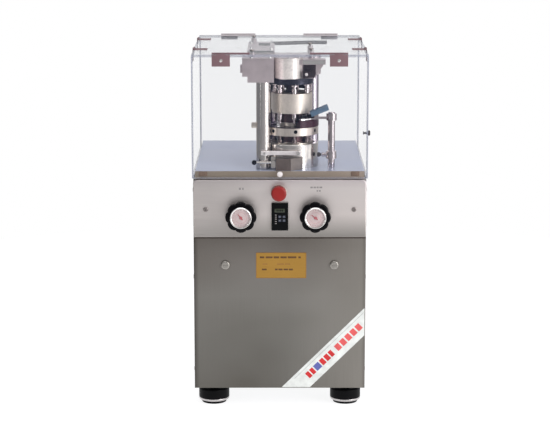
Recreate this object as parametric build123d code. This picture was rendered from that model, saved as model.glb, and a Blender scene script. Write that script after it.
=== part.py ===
from build123d import *
from math import cos, radians, sin
import os

# Small rotary tablet press: a cabinet with a clear hinged guard over a seven-station turret.
# Millimetres. The machine is laid out in cabinet coordinates: X = 0 on the cabinet's centre
# line, Y = 0 on its front face with +Y to the back, Z = 0 on the floor. save() moves every
# piece so that the origin is the bottom centre of the whole machine.

os.makedirs("parts", exist_ok=True)

# ---- cabinet ----
CABINET_W = 500
CABINET_D = 590
CABINET_BOTTOM = 56
SEAM_Z = 509.5
PANEL_TOP = 679
WORKTOP_Z = 704
SKIRT_BOTTOM = 681
SHEET = 2.5
TRAY_DEPTH = 20
REAR_TRAY_DEPTH = 10.5
POST = 30
POST_FACE_X = 241.5
POST_TOP = WORKTOP_Z - 5

# ---- feet ----
FOOT_X = 195
FOOT_IN = 62
FOOT_R = 45
FOOT_BASE = 3
FOOT_CUP_TOP = 46
STEM_R = 8

# ---- guard ----
GUARD_HALF_W = 253
GUARD_HALF_D = CABINET_D / 2
GUARD_TOP = 1040
ACRYLIC = 5
PANE_BOTTOM = 683
PANE_TOP = GUARD_TOP - ACRYLIC - 0.6
LEAF = 1.6
HINGE_Z = GUARD_TOP + 3
HINGE_IN = ACRYLIC / 2
KNUCKLE_R = 2.6
HINGE_PIN_R = 1.4
# each side's hinges: where the top leaf starts from the middle of the edge, its length and
# depth, then the tab's length and its drop down the pane
HINGES = {
    "front": (86, 108, 31, 52, 34),
    "right": (126, 46, 36, 46, 34),
    "rear": (76, 108, 31, 52, 14),
    "left": (126, 46, 36, 46, 34),
}

# ---- turret ----
TURRET_X = 35
TURRET_Y = 115
STATIONS = 7
FIRST_STATION = 8
PITCH_R = 50
TABLE_R = 78
TABLE_BOTTOM = 799
TABLE_TOP = 823
GUIDE_R = 60
GUIDE_BOTTOM = 869
GUIDE_TOP = 920
LOWER_GUIDE_R = 64
LOWER_GUIDE_BOTTOM = 752
LOWER_GUIDE_TOP = 776
DRUM_TOP = 774
DRUM_INNER_R = 68
SPINDLE_R = 17
NECK_R = 42
RUN = 0.05
CAM_FACE = 946.5
CAM_R = 63
CAM_SKIRT_R = 66
CAM_SKIRT_Z = (923, 955)
HEAD_FACE = 963
LEDGE_TOP = 724.5

# ---- punches and dies ----
BARREL_R = 7
TIP_R = 4
PUNCH_HEAD_R = 9
DIE_R = 11
UPPER_TIP_Z = 833
UPPER_HEAD_Z = CAM_FACE - 0.5
LOWER_TIP_Z = 808
LOWER_HEAD_Z = LEDGE_TOP + 0.5
LOWER_SHOULDER_Z = 785.5

# ---- rollers and drive ----
ROLLER_R = 24
ROLLER_PIN_R = 6
ROLLER_Y = TURRET_Y + PITCH_R
UPPER_ROLLER_Z = CAM_FACE - 0.2 + ROLLER_R
LOWER_ROLLER_Z = LEDGE_TOP - 0.2 - ROLLER_R
WORM_Z = 590
WHEEL_R = 58
WORM_R = 15
WORM_Y = TURRET_Y + WHEEL_R + WORM_R + 0.5
WORM_SHAFT_R = 9

# ---- controls ----
WHEEL_LEFT_X = -112
WHEEL_RIGHT_X = 102
WHEEL_Z = 575
WHEEL_REACH = 45
LOBES = 8
LOBE_RING_R = 36.5
LOBE_R = 8.75
DIAL_R = 31.5
SHAFT_R = 8
ESTOP_X = -3
ESTOP_Z = 642
ESTOP_R = 22
KEYPAD_HALF_W = 24
KEYPAD_LOW = 532
KEYPAD_HIGH = 612
DISPLAY = ((-16, 15), (585, 597))
KEY_W = 8
KEY_H = 7
KEYS = [("start", 0, 573), ("stop", 12, 573), ("down", 0, 562), ("up", 12, 562)]
LOCK_X = 158
LOCK_Z = 428
LOCK_R = 13

# ---- columns and head ----
COLUMN_R = 21
COLUMNS = [(-47.5, 57), (-28, 300), (96, 260)]
COLUMN_TOP = 956
BRIDGE_X = (-93, 105)
BRIDGE_Y = (95, 330)
BRIDGE_TOP = 1012
BLOCK_X = (-93, -17)
BLOCK_Y = (34, 130)
CAP_X = -108
CAP_Z = (973, 1025)
HOUSING = (25.5, 95, 41.5)
HOUSING_TOP = 1023
ARM_X = (40, 132)
ARM_Y = (66, 112)
ARM_Z = (1004, 1018)
RAIL_X = (-97, -15)
RAIL_Y = (285, 560)
RAIL_Z = (1008, 1022)
# where the guard's top sheet is bolted to the head
GUARD_SCREWS = [(-80, 110), (92, 150), (-80, 540), (92, 310)]

# ---- worm gear and motor ----
GEARBOX_X = (-40, 108)
GEARBOX_Y = (45, 222)
GEARBOX_Z = (530, 650)
GEARBOX_WALL = 8
MOTOR_X = (-190, -51)
MOTOR_R = 44
FIN_R = 47
FINS = 11
MOTOR_SHAFT_END = -66

# ---- chute, lever and feeder ----
CHUTE_H = 35
SCRAPER_Z = (747, 759)
LEVER_X = -19
LEVER_Y = 28
LEVER_Z = 725
LEVER_BALL_X = -74
FEEDER_X = 150
FEEDER_Y = 75
FEEDER_R = 10
COLLAR_R = 15
ARM_BOTTOM = 846
FEED_R = 79
FEED_START = 18
FEED_END = 88
FEED_TOP = 846
HOPPER_HALF = 27
HOPPER_HALF_D = 19
HOPPER_WALL = 3
HOPPER_PLACE = Pos(117, 58, 866) * Rot(0, -22, 0)

# ---- cable gland ----
GLAND_X = 150
GLAND_Z = 120
CABLE_R = 5

# ---- extremes of the whole machine ----
KNOB_REACH = 22
GLAND_REACH = 18
LEFT_EDGE = -(GUARD_HALF_W + LEAF)
RIGHT_EDGE = GUARD_HALF_W + KNOB_REACH
FRONT_EDGE = -WHEEL_REACH
REAR_EDGE = CABINET_D + GLAND_REACH
ORIGIN = Location((-(LEFT_EDGE + RIGHT_EDGE) / 2, -(FRONT_EDGE + REAR_EDGE) / 2, 0))


def save(name, *solids):
    """Write one node, moved from cabinet coordinates to the machine's origin."""
    bodies = [solid for shape in solids for solid in shape.solids()]
    export_step(ORIGIN * Compound(children=bodies), f"parts/{name}.step")


def span(x, y, z):
    """A box given by its (low, high) along each axis."""
    size = [high - low for low, high in (x, y, z)]
    middle = [(high + low) / 2 for low, high in (x, y, z)]
    return Pos(*middle) * Box(*size)


def rod(x, y, z, radius):
    """A vertical round bar between the two heights in z."""
    return Pos(x, y, (z[0] + z[1]) / 2) * Cylinder(radius, z[1] - z[0])


def rod_y(x, z, y, radius):
    """A round bar along Y between the two depths in y."""
    return Pos(x, (y[0] + y[1]) / 2, z) * Rot(90, 0, 0) * Cylinder(radius, y[1] - y[0])


def rod_x(y, z, x, radius):
    """A round bar along X between the two sides in x."""
    return Pos((x[0] + x[1]) / 2, y, z) * Rot(0, 90, 0) * Cylinder(radius, x[1] - x[0])


def stack(x, y, *steps):
    """Round vertical steps on one axis, each (radius, low, high)."""
    solid = rod(x, y, steps[0][1:], steps[0][0])
    for radius, low, high in steps[1:]:
        solid += rod(x, y, (low, high), radius)
    return solid


def station(index, radius=PITCH_R):
    """Where a turret station stands in plan: clockwise from the front, seen from above."""
    angle = radians(FIRST_STATION + index * 360 / STATIONS)
    return TURRET_X + radius * sin(angle), TURRET_Y - radius * cos(angle)


def tray(x, y, z, wall, keep):
    """A folded sheet panel: a box hollowed from the side that keep leaves open."""
    inner = {"x": x, "y": y, "z": z}
    cut = {}
    for axis, (low, high) in inner.items():
        cut[axis] = (low + wall, high - wall)
    axis, side = keep
    low, high = inner[axis]
    cut[axis] = (low - 1, high - wall) if side < 0 else (low + wall, high + 1)
    return span(x, y, z) - span(cut["x"], cut["y"], cut["z"])


# ---------------------------------------------------------------- cabinet

def base_plate():
    plate = span((-250, 250), (TRAY_DEPTH + 0.5, CABINET_D), (CABINET_BOTTOM, CABINET_BOTTOM + 4))
    for x, y in feet_places():
        plate -= rod(x, y, (CABINET_BOTTOM - 1, CABINET_BOTTOM + 5), STEM_R + 0.2)
    return plate


def feet_places():
    return [(x, y) for x in (-FOOT_X, FOOT_X) for y in (FOOT_IN, CABINET_D - FOOT_IN)]


def square_tube(x, y, z, hollow_axis):
    """A square steel tube, open along one axis."""
    wall = 3
    limits = {"x": x, "y": y, "z": z}
    inner = {axis: (low + wall, high - wall) for axis, (low, high) in limits.items()}
    low, high = limits[hollow_axis]
    inner[hollow_axis] = (low - 1, high + 1)
    return span(x, y, z) - span(inner["x"], inner["y"], inner["z"])


def frame_posts():
    """Four corner posts and the rails between them."""
    inner_x = POST_FACE_X - POST
    rear_y = CABINET_D - REAR_TRAY_DEPTH
    posts = []
    for x in ((-POST_FACE_X, -inner_x), (inner_x, POST_FACE_X)):
        for y in ((TRAY_DEPTH, TRAY_DEPTH + POST), (rear_y - POST, rear_y)):
            posts.append(square_tube(x, y, (CABINET_BOTTOM + 4, POST_TOP), "z"))
    for y in ((TRAY_DEPTH, TRAY_DEPTH + POST), (rear_y - POST, rear_y)):
        posts.append(square_tube((-inner_x, inner_x), y, (SEAM_Z - 15, SEAM_Z + 15), "x"))
    for x in ((-POST_FACE_X, -inner_x), (inner_x, POST_FACE_X)):
        posts.append(square_tube(x, (TRAY_DEPTH + POST, rear_y - POST), (650, 680), "y"))
    return posts


def side_panels():
    """Two folded side sheets, open towards the posts."""
    y = (TRAY_DEPTH + 0.5, CABINET_D - REAR_TRAY_DEPTH)
    z = (CABINET_BOTTOM + 4, SKIRT_BOTTOM)
    left = tray((-250, -POST_FACE_X), y, z, 2, ("x", 1))
    right = tray((POST_FACE_X, 250), y, z, 2, ("x", -1))
    return left, right


def rear_panel():
    """Folded rear sheet with two banks of louvre slots and the cable hole."""
    panel = tray((-250, 250), (CABINET_D - REAR_TRAY_DEPTH, CABINET_D),
                 (CABINET_BOTTOM + 4, SKIRT_BOTTOM), 2, ("y", -1))
    for z in range(420, 601, 20):
        for x in (-110, 110):
            panel -= span((x - 60, x + 60), (CABINET_D - 4, CABINET_D + 1), (z - 3, z + 3))
    return panel - rod_y(GLAND_X, GLAND_Z, (CABINET_D - 5, CABINET_D + 1), 9.9)


def cable_gland():
    """Hexagonal compression gland with its cable bore."""
    flange = extrude(Plane.XZ * RegularPolygon(13, 6), 8)
    body = Pos(GLAND_X, CABINET_D + 8, GLAND_Z) * flange
    body += rod_y(GLAND_X, GLAND_Z, (CABINET_D, REAR_EDGE), 9.5)
    body += rod_y(GLAND_X, GLAND_Z, (CABINET_D - 12, CABINET_D + 1), 9.8)
    return body - rod_y(GLAND_X, GLAND_Z, (CABINET_D - 13, REAR_EDGE + 1), CABLE_R)


def control_panel():
    """Front panel with rounded upper corners, shaft bushes and the stop button's bezel."""
    panel = span((-250, 250), (0, TRAY_DEPTH), (SEAM_Z, PANEL_TOP))
    corners = panel.edges().filter_by(Axis.Y).group_by(Axis.Z)[-1]
    panel = fillet(corners, 12)
    front = panel.faces().sort_by(Axis.Y)[0]
    panel = fillet(front.edges(), 3)
    panel -= span((-250 + SHEET, 250 - SHEET), (SHEET, TRAY_DEPTH + 1),
                  (SEAM_Z + SHEET, PANEL_TOP - 12))
    for x in (WHEEL_LEFT_X, WHEEL_RIGHT_X):
        panel += rod_y(x, WHEEL_Z, (-4, 30), 15)
        panel -= rod_y(x, WHEEL_Z, (-5, 31), SHAFT_R + RUN)
    panel += rod_y(ESTOP_X, ESTOP_Z, (-6, 12), 15)
    return panel - rod_y(ESTOP_X, ESTOP_Z, (-7, 13), 10 + RUN)


def handwheel(x):
    """Lobed wheel with its indicator housing in front and its shaft through the panel."""
    rim = Circle(LOBE_RING_R + 3.5)
    for index in range(LOBES):
        angle = radians(360 / LOBES * index)
        rim += Pos(LOBE_RING_R * cos(angle), LOBE_RING_R * sin(angle)) * Circle(LOBE_R)
    wheel = extrude(Plane.XZ * rim, 17)
    wheel = fillet(wheel.faces().sort_by(Axis.Y)[0].edges(), 3)
    wheel = Pos(x, -20, WHEEL_Z) * wheel
    wheel += rod_y(x, WHEEL_Z, (-WHEEL_REACH, -30), DIAL_R)
    wheel += rod_y(x, WHEEL_Z, (-22, -5), 14)
    return wheel + rod_y(x, WHEEL_Z, (-6, 42), SHAFT_R)


def estop_button():
    """Mushroom head on a stem that runs in the panel's bezel."""
    head = rod_y(ESTOP_X, ESTOP_Z, (-28, -12), ESTOP_R)
    head = fillet(head.faces().sort_by(Axis.Y)[0].edges(), 6)
    return head + rod_y(ESTOP_X, ESTOP_Z, (-13, 24), 10)


def keypad_body():
    """Speed controller's face: a rounded block with a display recess and four key pockets."""
    body = span((-KEYPAD_HALF_W, KEYPAD_HALF_W), (-11, 0), (KEYPAD_LOW, KEYPAD_HIGH))
    body = fillet(body.faces().sort_by(Axis.Y)[0].edges(), 2.5)
    body -= span(DISPLAY[0], (-12, -9.5), DISPLAY[1])
    for _, x, z in KEYS:
        body -= span((x - KEY_W / 2 - 0.3, x + KEY_W / 2 + 0.3), (-12, -3),
                     (z - KEY_H / 2 - 0.3, z + KEY_H / 2 + 0.3))
    return body


def key(x, z):
    cap = span((x - KEY_W / 2, x + KEY_W / 2), (-12.5, -5), (z - KEY_H / 2, z + KEY_H / 2))
    return fillet(cap.faces().sort_by(Axis.Y)[0].edges(), 0.8)


def service_door():
    """Lift-off front panel, folded back all round, with two lock holes."""
    door = span((-250, 250), (0, TRAY_DEPTH - 0.5), (CABINET_BOTTOM + 0.5, SEAM_Z - 1))
    door = fillet(door.faces().sort_by(Axis.Y)[0].edges(), 3)
    door -= span((-250 + SHEET, 250 - SHEET), (SHEET, TRAY_DEPTH),
                 (CABINET_BOTTOM + 0.5 + SHEET, SEAM_Z - 1 - SHEET))
    for x in (-LOCK_X, LOCK_X):
        door -= rod_y(x, LOCK_Z, (-1, SHEET + 1), 5 + RUN)
    return door


def door_lock(x):
    """Quarter-turn lock: slotted head, stem and a tongue parked pointing down."""
    lock = rod_y(x, LOCK_Z, (-7, 0), LOCK_R)
    lock = fillet(lock.faces().sort_by(Axis.Y)[0].edges(), 4)
    lock -= span((x - 7, x + 7), (-8, -5.5), (LOCK_Z - 1.2, LOCK_Z + 1.2))
    lock += rod_y(x, LOCK_Z, (-1, 14), 5)
    return lock + span((x - 5, x + 5), (11, 14), (LOCK_Z - 26, LOCK_Z + 5))


def nameplate():
    plate = span((-69, 77), (-1, 0), (389, 465))
    return fillet(plate.edges().filter_by(Axis.Y), 3)


def levelling_feet():
    """Four rubber cups on narrower base discs, each with its threaded stem and lock nut."""
    feet = []
    for x, y in feet_places():
        cup = rod(x, y, (FOOT_BASE, FOOT_CUP_TOP), FOOT_R)
        cup = fillet(cup.faces().sort_by(Axis.Z)[0].edges(), 14)
        cup = fillet(cup.faces().sort_by(Axis.Z)[-1].edges(), 6)
        cup += rod(x, y, (0, FOOT_BASE + 1), FOOT_R - 9)
        cup += rod(x, y, (FOOT_CUP_TOP - 1, CABINET_BOTTOM + 6), STEM_R)
        nut = Pos(x, y, FOOT_CUP_TOP) * extrude(RegularPolygon(13, 6), 9)
        feet.append(cup + nut)
    return feet


# ---------------------------------------------------------------- worktop and base casting

def worktop():
    """Folded worktop with the opening under the turret."""
    top = tray((-244, 244), (8, CABINET_D - 8), (SKIRT_BOTTOM, WORKTOP_Z), 2, ("z", -1))
    top += span((-241, 241), (11, CABINET_D - 11), (POST_TOP, WORKTOP_Z))
    edge = top.faces().sort_by(Axis.Z)[-1].edges()
    top = fillet(edge, 1.5)
    return top - rod(TURRET_X, TURRET_Y, (POST_TOP - 1, WORKTOP_Z + 1), 67)


def base_drum():
    """Drum round the lower punches, with the lower cam ledge and the lower roller's lugs."""
    drum = rod(TURRET_X, TURRET_Y, (WORKTOP_Z, DRUM_TOP), TABLE_R)
    drum = fillet(drum.faces().sort_by(Axis.Z)[-1].edges(), 2)
    drum += span((LEVER_X - 7, LEVER_X + 6.5), (38, 58), (WORKTOP_Z + 1, LEVER_Z + 15))
    drum -= rod(TURRET_X, TURRET_Y, (LEDGE_TOP, DRUM_TOP + 1), DRUM_INNER_R)
    drum -= rod(TURRET_X, TURRET_Y, (WORKTOP_Z - 1, LEDGE_TOP + 1), 30)
    drum -= rod(TURRET_X, TURRET_Y, (WORKTOP_Z - 1, 708), 65)
    for y in ((ROLLER_Y - 18, ROLLER_Y - 9.5), (ROLLER_Y + 9.5, ROLLER_Y + 15)):
        drum += span((TURRET_X - 10, TURRET_X + 10), y, (690, 712))
    slot_x = (TURRET_X - ROLLER_R - 3, TURRET_X + ROLLER_R + 3)
    drum -= span(slot_x, (ROLLER_Y - 8.5, ROLLER_Y + 8.5), (689, 740))
    drum -= rod_y(TURRET_X, LOWER_ROLLER_Z, (ROLLER_Y - 19, ROLLER_Y + 16), ROLLER_PIN_R + RUN)
    return drum - rod_y(LEVER_X, LEVER_Z, (37, 51), 4 + RUN)


def clamp_lever():
    """Ball lever on the drum's clamp block."""
    lever = rod_y(LEVER_X, LEVER_Z, (LEVER_Y - 6, 37.6), 6.5)
    lever += rod_y(LEVER_X, LEVER_Z, (37, 50), 4)
    lever += rod_x(LEVER_Y, LEVER_Z, (LEVER_BALL_X + 4, LEVER_X), 3)
    return lever + Pos(LEVER_BALL_X, LEVER_Y, LEVER_Z) * Rot(0, 90, 0) * Sphere(7)


def scraper_bar():
    """Bar across the drum's front, with its spacer and a clamping block by the column."""
    bar = span((-54, 60), (22, 31), SCRAPER_Z)
    bar = fillet(bar.edges().filter_by(Axis.X), 2)
    bar += span((TURRET_X - 7, TURRET_X + 7), (30, TURRET_Y - TABLE_R), (748, 758))
    return bar + rod_y(53, 753, (18, 23), 6)


def chute():
    """Discharge chute: an angled duct with a sloping floor, open at both ends."""
    outline = Polyline((-12, 8), (32, 8), (66, 34), (66, 50), (-12, 55), close=True)
    inside = Polyline((-9, 7), (29.5, 7), (62.5, 34), (62.5, 60), (-9, 60), close=True)
    duct = Pos(0, 0, WORKTOP_Z) * extrude(make_face(outline), CHUTE_H)
    duct -= Pos(0, 0, WORKTOP_Z + 3) * extrude(make_face(inside), 29.5)
    return duct - rod(TURRET_X, TURRET_Y, (WORKTOP_Z - 1, DRUM_TOP), TABLE_R + 0.1)


# ---------------------------------------------------------------- columns and head

def columns():
    """Three polished columns, collared at the foot, that carry the head."""
    built = []
    for x, y in COLUMNS:
        foot = rod(x, y, (WORKTOP_Z, COLUMN_TOP), COLUMN_R)
        built.append(chamfer(foot.faces().sort_by(Axis.Z)[0].edges(), 1.5))
    return built


def head_casting():
    """Top casting: bridge, front block on the column, round roller housing and side arm."""
    head = span(BRIDGE_X, BRIDGE_Y, (HEAD_FACE, BRIDGE_TOP))
    head = fillet(head.edges().filter_by(Axis.Z), 14)
    head += span(BLOCK_X, BLOCK_Y, (COLUMN_TOP, CAP_Z[1] - 16))
    head += span((CAP_X, BLOCK_X[1]), BLOCK_Y, CAP_Z)
    head += span((CAP_X - 6, CAP_X + 8), (60, 90), (981, 1003))
    head += rod(*HOUSING[:2], (HEAD_FACE - 1, HOUSING_TOP), HOUSING[2])
    for x, y in COLUMNS[1:]:
        head += rod(x, y, (COLUMN_TOP, BRIDGE_TOP), COLUMN_R + 6)
    head += span(ARM_X, ARM_Y, ARM_Z)
    gusset_top = ARM_Z[0] + 1
    gusset = Polyline((60, HEAD_FACE), (100, HEAD_FACE), (ARM_X[1] - 4, gusset_top),
                      (60, gusset_top), close=True)
    head += Pos(0, ARM_Y[1] - 6, 0) * extrude(Plane.XZ * make_face(gusset), 30)
    head += span(RAIL_X, RAIL_Y, RAIL_Z)
    for x, y in GUARD_SCREWS:
        head += rod(x, y, (RAIL_Z[0] - 8, GUARD_TOP - ACRYLIC), 8)
    head -= rod(TURRET_X, TURRET_Y, (COLUMN_TOP - 1, HEAD_FACE), CAM_R + 0.1)
    head -= rod(TURRET_X, TURRET_Y, (HEAD_FACE - 5, 992), SPINDLE_R - 2 + RUN)
    room = ROLLER_R + 3
    head -= span((TURRET_X - room, TURRET_X + room), (ROLLER_Y - 11, ROLLER_Y + 11),
                 (HEAD_FACE - 5, UPPER_ROLLER_Z + room))
    return head - rod_y(TURRET_X, UPPER_ROLLER_Z, (ROLLER_Y - 26, ROLLER_Y + 26),
                        ROLLER_PIN_R + RUN)


def upper_cam():
    """Cam ring above the punch heads, cut away for the upper roller, skirted at the back."""
    ring = rod(TURRET_X, TURRET_Y, (CAM_FACE, HEAD_FACE), CAM_R)
    ring -= rod(TURRET_X, TURRET_Y, (CAM_FACE - 1, HEAD_FACE + 1), 36)
    gap_x = (TURRET_X - ROLLER_R - 3, TURRET_X + ROLLER_R + 3)
    ring -= span(gap_x, (ROLLER_Y - 11, ROLLER_Y + 20), (CAM_FACE - 1, HEAD_FACE + 1))
    for start, stop in ((128, 200), (200, 265)):
        ring += sector(CAM_R - 0.5, CAM_SKIRT_R, start, stop, *CAM_SKIRT_Z)
    return ring


def pressure_roller(z, half_width, pin):
    """Roller and its pin, lying front to back above or below the punch heads."""
    roller = rod_y(TURRET_X, z, (ROLLER_Y - half_width, ROLLER_Y + half_width), ROLLER_R)
    roller = fillet(roller.edges(), 1.5)
    return roller + rod_y(TURRET_X, z, (ROLLER_Y + pin[0], ROLLER_Y + pin[1]), ROLLER_PIN_R)


# ---------------------------------------------------------------- turret

def spindle():
    """Main shaft from the worm gear up to the bearing in the head."""
    return stack(TURRET_X, TURRET_Y, (SPINDLE_R, 532, 955), (SPINDLE_R - 2, 955, 990))


def bore_stations(solid, radius, low, high):
    for index in range(STATIONS):
        x, y = station(index)
        solid -= rod(x, y, (low - 1, high + 1), radius)
    return solid


def upper_turret():
    """Upper punch guide with its neck down to the die table."""
    body = rod(TURRET_X, TURRET_Y, (GUIDE_BOTTOM, GUIDE_TOP), GUIDE_R)
    body = fillet(body.faces().sort_by(Axis.Z)[-1].edges(), 2)
    body += stack(TURRET_X, TURRET_Y, (58, GUIDE_BOTTOM - 7, GUIDE_BOTTOM),
                  (34, TABLE_TOP, GUIDE_BOTTOM), (NECK_R, TABLE_TOP + 11, GUIDE_BOTTOM))
    body = bore_stations(body, BARREL_R + RUN, GUIDE_BOTTOM - 7, GUIDE_TOP)
    return body - rod(TURRET_X, TURRET_Y, (TABLE_TOP - 1, GUIDE_TOP + 1), SPINDLE_R + 0.02)


def die_table():
    """Disc that carries the dies, with a lock screw pocket on the rim at each die."""
    table = rod(TURRET_X, TURRET_Y, (TABLE_BOTTOM, TABLE_TOP), TABLE_R)
    table = chamfer(table.edges(), 1)
    table = bore_stations(table, DIE_R + 0.02, TABLE_BOTTOM, TABLE_TOP)
    for index in range(STATIONS):
        angle = FIRST_STATION + index * 360 / STATIONS
        pocket = rod_y(0, (TABLE_TOP + TABLE_BOTTOM) / 2 + 1, (-TABLE_R - 1, -TABLE_R + 5), 5.5)
        table -= Pos(TURRET_X, TURRET_Y, 0) * Rot(0, 0, angle) * pocket
    return table - rod(TURRET_X, TURRET_Y, (TABLE_BOTTOM - 1, TABLE_TOP + 1), SPINDLE_R + 0.02)


def lower_guide():
    """Lower punch guide with the hub that spaces it from the die table."""
    guide = stack(TURRET_X, TURRET_Y, (NECK_R, LOWER_GUIDE_TOP, TABLE_BOTTOM),
                  (LOWER_GUIDE_R, LOWER_GUIDE_BOTTOM, LOWER_GUIDE_TOP))
    guide = bore_stations(guide, BARREL_R + RUN, LOWER_GUIDE_BOTTOM, LOWER_GUIDE_TOP)
    bore = (LOWER_GUIDE_BOTTOM - 1, TABLE_BOTTOM + 1)
    return guide - rod(TURRET_X, TURRET_Y, bore, SPINDLE_R + 0.02)


def dies():
    """One die in each station, flush with the table."""
    built = []
    for index in range(STATIONS):
        x, y = station(index)
        die = rod(x, y, (TABLE_BOTTOM + 2, TABLE_TOP), DIE_R)
        built.append(die - rod(x, y, (TABLE_BOTTOM, TABLE_TOP + 1), TIP_R + RUN))
    return built


def upper_punch(index):
    x, y = station(index)
    top = UPPER_HEAD_Z
    punch = stack(x, y, (TIP_R, UPPER_TIP_Z, UPPER_TIP_Z + 13),
                  (BARREL_R, UPPER_TIP_Z + 12, top - 12), (5, top - 13, top - 5),
                  (PUNCH_HEAD_R, top - 6, top))
    return chamfer(punch.faces().sort_by(Axis.Z)[-1].edges(), 1.5)


def lower_punch(index):
    x, y = station(index)
    low = LOWER_HEAD_Z
    punch = stack(x, y, (TIP_R, LOWER_SHOULDER_Z - 1, LOWER_TIP_Z),
                  (BARREL_R, low + 12, LOWER_SHOULDER_Z), (5, low + 5, low + 13),
                  (PUNCH_HEAD_R, low, low + 6))
    return chamfer(punch.faces().sort_by(Axis.Z)[0].edges(), 1.5)


def worm_wheel():
    """Worm wheel keyed to the spindle, with a hub and shallow tooth gashes."""
    wheel = rod(TURRET_X, TURRET_Y, (WORM_Z - 12, WORM_Z + 12), WHEEL_R)
    wheel += rod(TURRET_X, TURRET_Y, (WORM_Z - 24, WORM_Z + 24), 28)
    wheel -= rod(TURRET_X, TURRET_Y, (WORM_Z - 25, WORM_Z + 25), SPINDLE_R + 0.02)
    for index in range(30):
        gash = rod(0, -WHEEL_R - 1.5, (WORM_Z - 13, WORM_Z + 13), 3)
        wheel -= Pos(TURRET_X, TURRET_Y, 0) * Rot(0, 0, index * 12) * gash
    return wheel


def worm_shaft():
    """Motor shaft that carries the worm."""
    shaft = rod_x(WORM_Y, WORM_Z, (MOTOR_SHAFT_END, GEARBOX_X[1] - 1), WORM_SHAFT_R)
    return shaft + rod_x(WORM_Y, WORM_Z, (TURRET_X - 35, TURRET_X + 35), WORM_R)


def gear_motor():
    """Worm gear housing hung under the worktop, and the finned motor flanged to it."""
    housing = span(GEARBOX_X, GEARBOX_Y, GEARBOX_Z)
    housing = fillet(housing.edges().filter_by(Axis.Z), 8)
    inside = [(low + GEARBOX_WALL, high - GEARBOX_WALL)
              for low, high in (GEARBOX_X, GEARBOX_Y, GEARBOX_Z)]
    housing -= span(*inside)
    flange_top = GEARBOX_Z[1] + 10
    flange_x = (GEARBOX_X[0] - 30, GEARBOX_X[1] + 30)
    housing += span(flange_x, (30, GEARBOX_Y[1]), (GEARBOX_Z[1], flange_top))
    for x in (flange_x[0] + 10, flange_x[1] - 10):
        for y in (40, GEARBOX_Y[1] - 14):
            housing += rod(x, y, (flange_top - 1, POST_TOP), 9)
    housing -= rod(TURRET_X, TURRET_Y, (GEARBOX_Z[0] - 1, flange_top + 1), SPINDLE_R + RUN)
    shaft_hole = (GEARBOX_X[0] - 1, GEARBOX_X[1] + 1)
    housing -= rod_x(WORM_Y, WORM_Z, shaft_hole, WORM_SHAFT_R + RUN)
    motor = rod_x(WORM_Y, WORM_Z, (MOTOR_X[1] - 1, GEARBOX_X[0]), MOTOR_R + 11)
    motor += rod_x(WORM_Y, WORM_Z, MOTOR_X, MOTOR_R)
    for index in range(FINS):
        x = MOTOR_X[0] + 10 + index * 11
        motor += rod_x(WORM_Y, WORM_Z, (x, x + 3), FIN_R)
    motor += span((-150, -80), (WORM_Y - 30, WORM_Y + 30), (WORM_Z + 40, WORM_Z + 75))
    motor -= rod_x(WORM_Y, WORM_Z, (MOTOR_SHAFT_END - 2, GEARBOX_X[0] + 1), WORM_SHAFT_R + RUN)
    return housing, motor


# ---------------------------------------------------------------- feeder

def sector(inner, outer, start, stop, low, high):
    """Part of a ring round the turret, between two angles counted clockwise from the front."""
    ring = rod(0, 0, (low, high), outer) - rod(0, 0, (low - 1, high + 1), inner)
    reach = outer * 2
    middle = radians((start + stop) / 2)
    first = radians(start)
    last = radians(stop)
    wedge = Polyline((0, 0), (reach * sin(first), -reach * cos(first)),
                     (reach * sin(middle), -reach * cos(middle)),
                     (reach * sin(last), -reach * cos(last)), close=True)
    wedge = Pos(0, 0, low - 1) * extrude(make_face(wedge), high - low + 2)
    return Pos(TURRET_X, TURRET_Y, 0) * (ring & wedge)


def feed_frame():
    """Powder frame on the die table: a low pocketed ring and a raised outer wall."""
    low = TABLE_TOP + 0.4
    floor = low + 7.6
    frame = sector(38, FEED_R, FEED_START, FEED_END, low, floor)
    frame -= sector(43, 59, FEED_START + 6, FEED_END - 6, low - 1, floor + 1)
    frame += sector(61, FEED_R, FEED_START, FEED_END, floor - 1, FEED_TOP)
    for x, y in ((70, 61), (92, 80)):
        frame += rod(x, y, (FEED_TOP - 1, FEED_TOP + 8), 6)
    return frame


def feeder_post():
    """Post with the arm that holds the powder frame, and a screwed collar near its foot."""
    post = rod(FEEDER_X, FEEDER_Y, (WORKTOP_Z, ARM_BOTTOM + 20), FEEDER_R)
    post = fillet(post.faces().sort_by(Axis.Z)[-1].edges(), 3)
    post += rod(FEEDER_X, FEEDER_Y, (ARM_BOTTOM - 4, ARM_BOTTOM + 16), COLLAR_R)
    post += span((100, FEEDER_X - 5), (69, 81), (ARM_BOTTOM, ARM_BOTTOM + 7))
    post += span((78, 112), (58, 72), (ARM_BOTTOM, ARM_BOTTOM + 4))
    above_tray = HOPPER_PLACE * span((-60, 60), (-40, 40), (0, 60))
    post += span((100, 112), (60, 72), (ARM_BOTTOM + 3, ARM_BOTTOM + 34)) - above_tray
    post += rod(FEEDER_X, FEEDER_Y, (730, 752), COLLAR_R)
    return post + rod_x(FEEDER_Y, 741, (FEEDER_X - 28, FEEDER_X - 12), 6)


def hopper_chute():
    """Clear folded tray that leads powder down into the frame."""
    width = (-HOPPER_HALF, HOPPER_HALF)
    sheet = span(width, (-HOPPER_HALF_D, HOPPER_HALF_D), (0, HOPPER_WALL))
    for side in (-1, 1):
        y = sorted((side * HOPPER_HALF_D, side * (HOPPER_HALF_D - HOPPER_WALL)))
        sheet += span(width, y, (0, 14))
    return HOPPER_PLACE * sheet


# ---------------------------------------------------------------- guard

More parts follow.
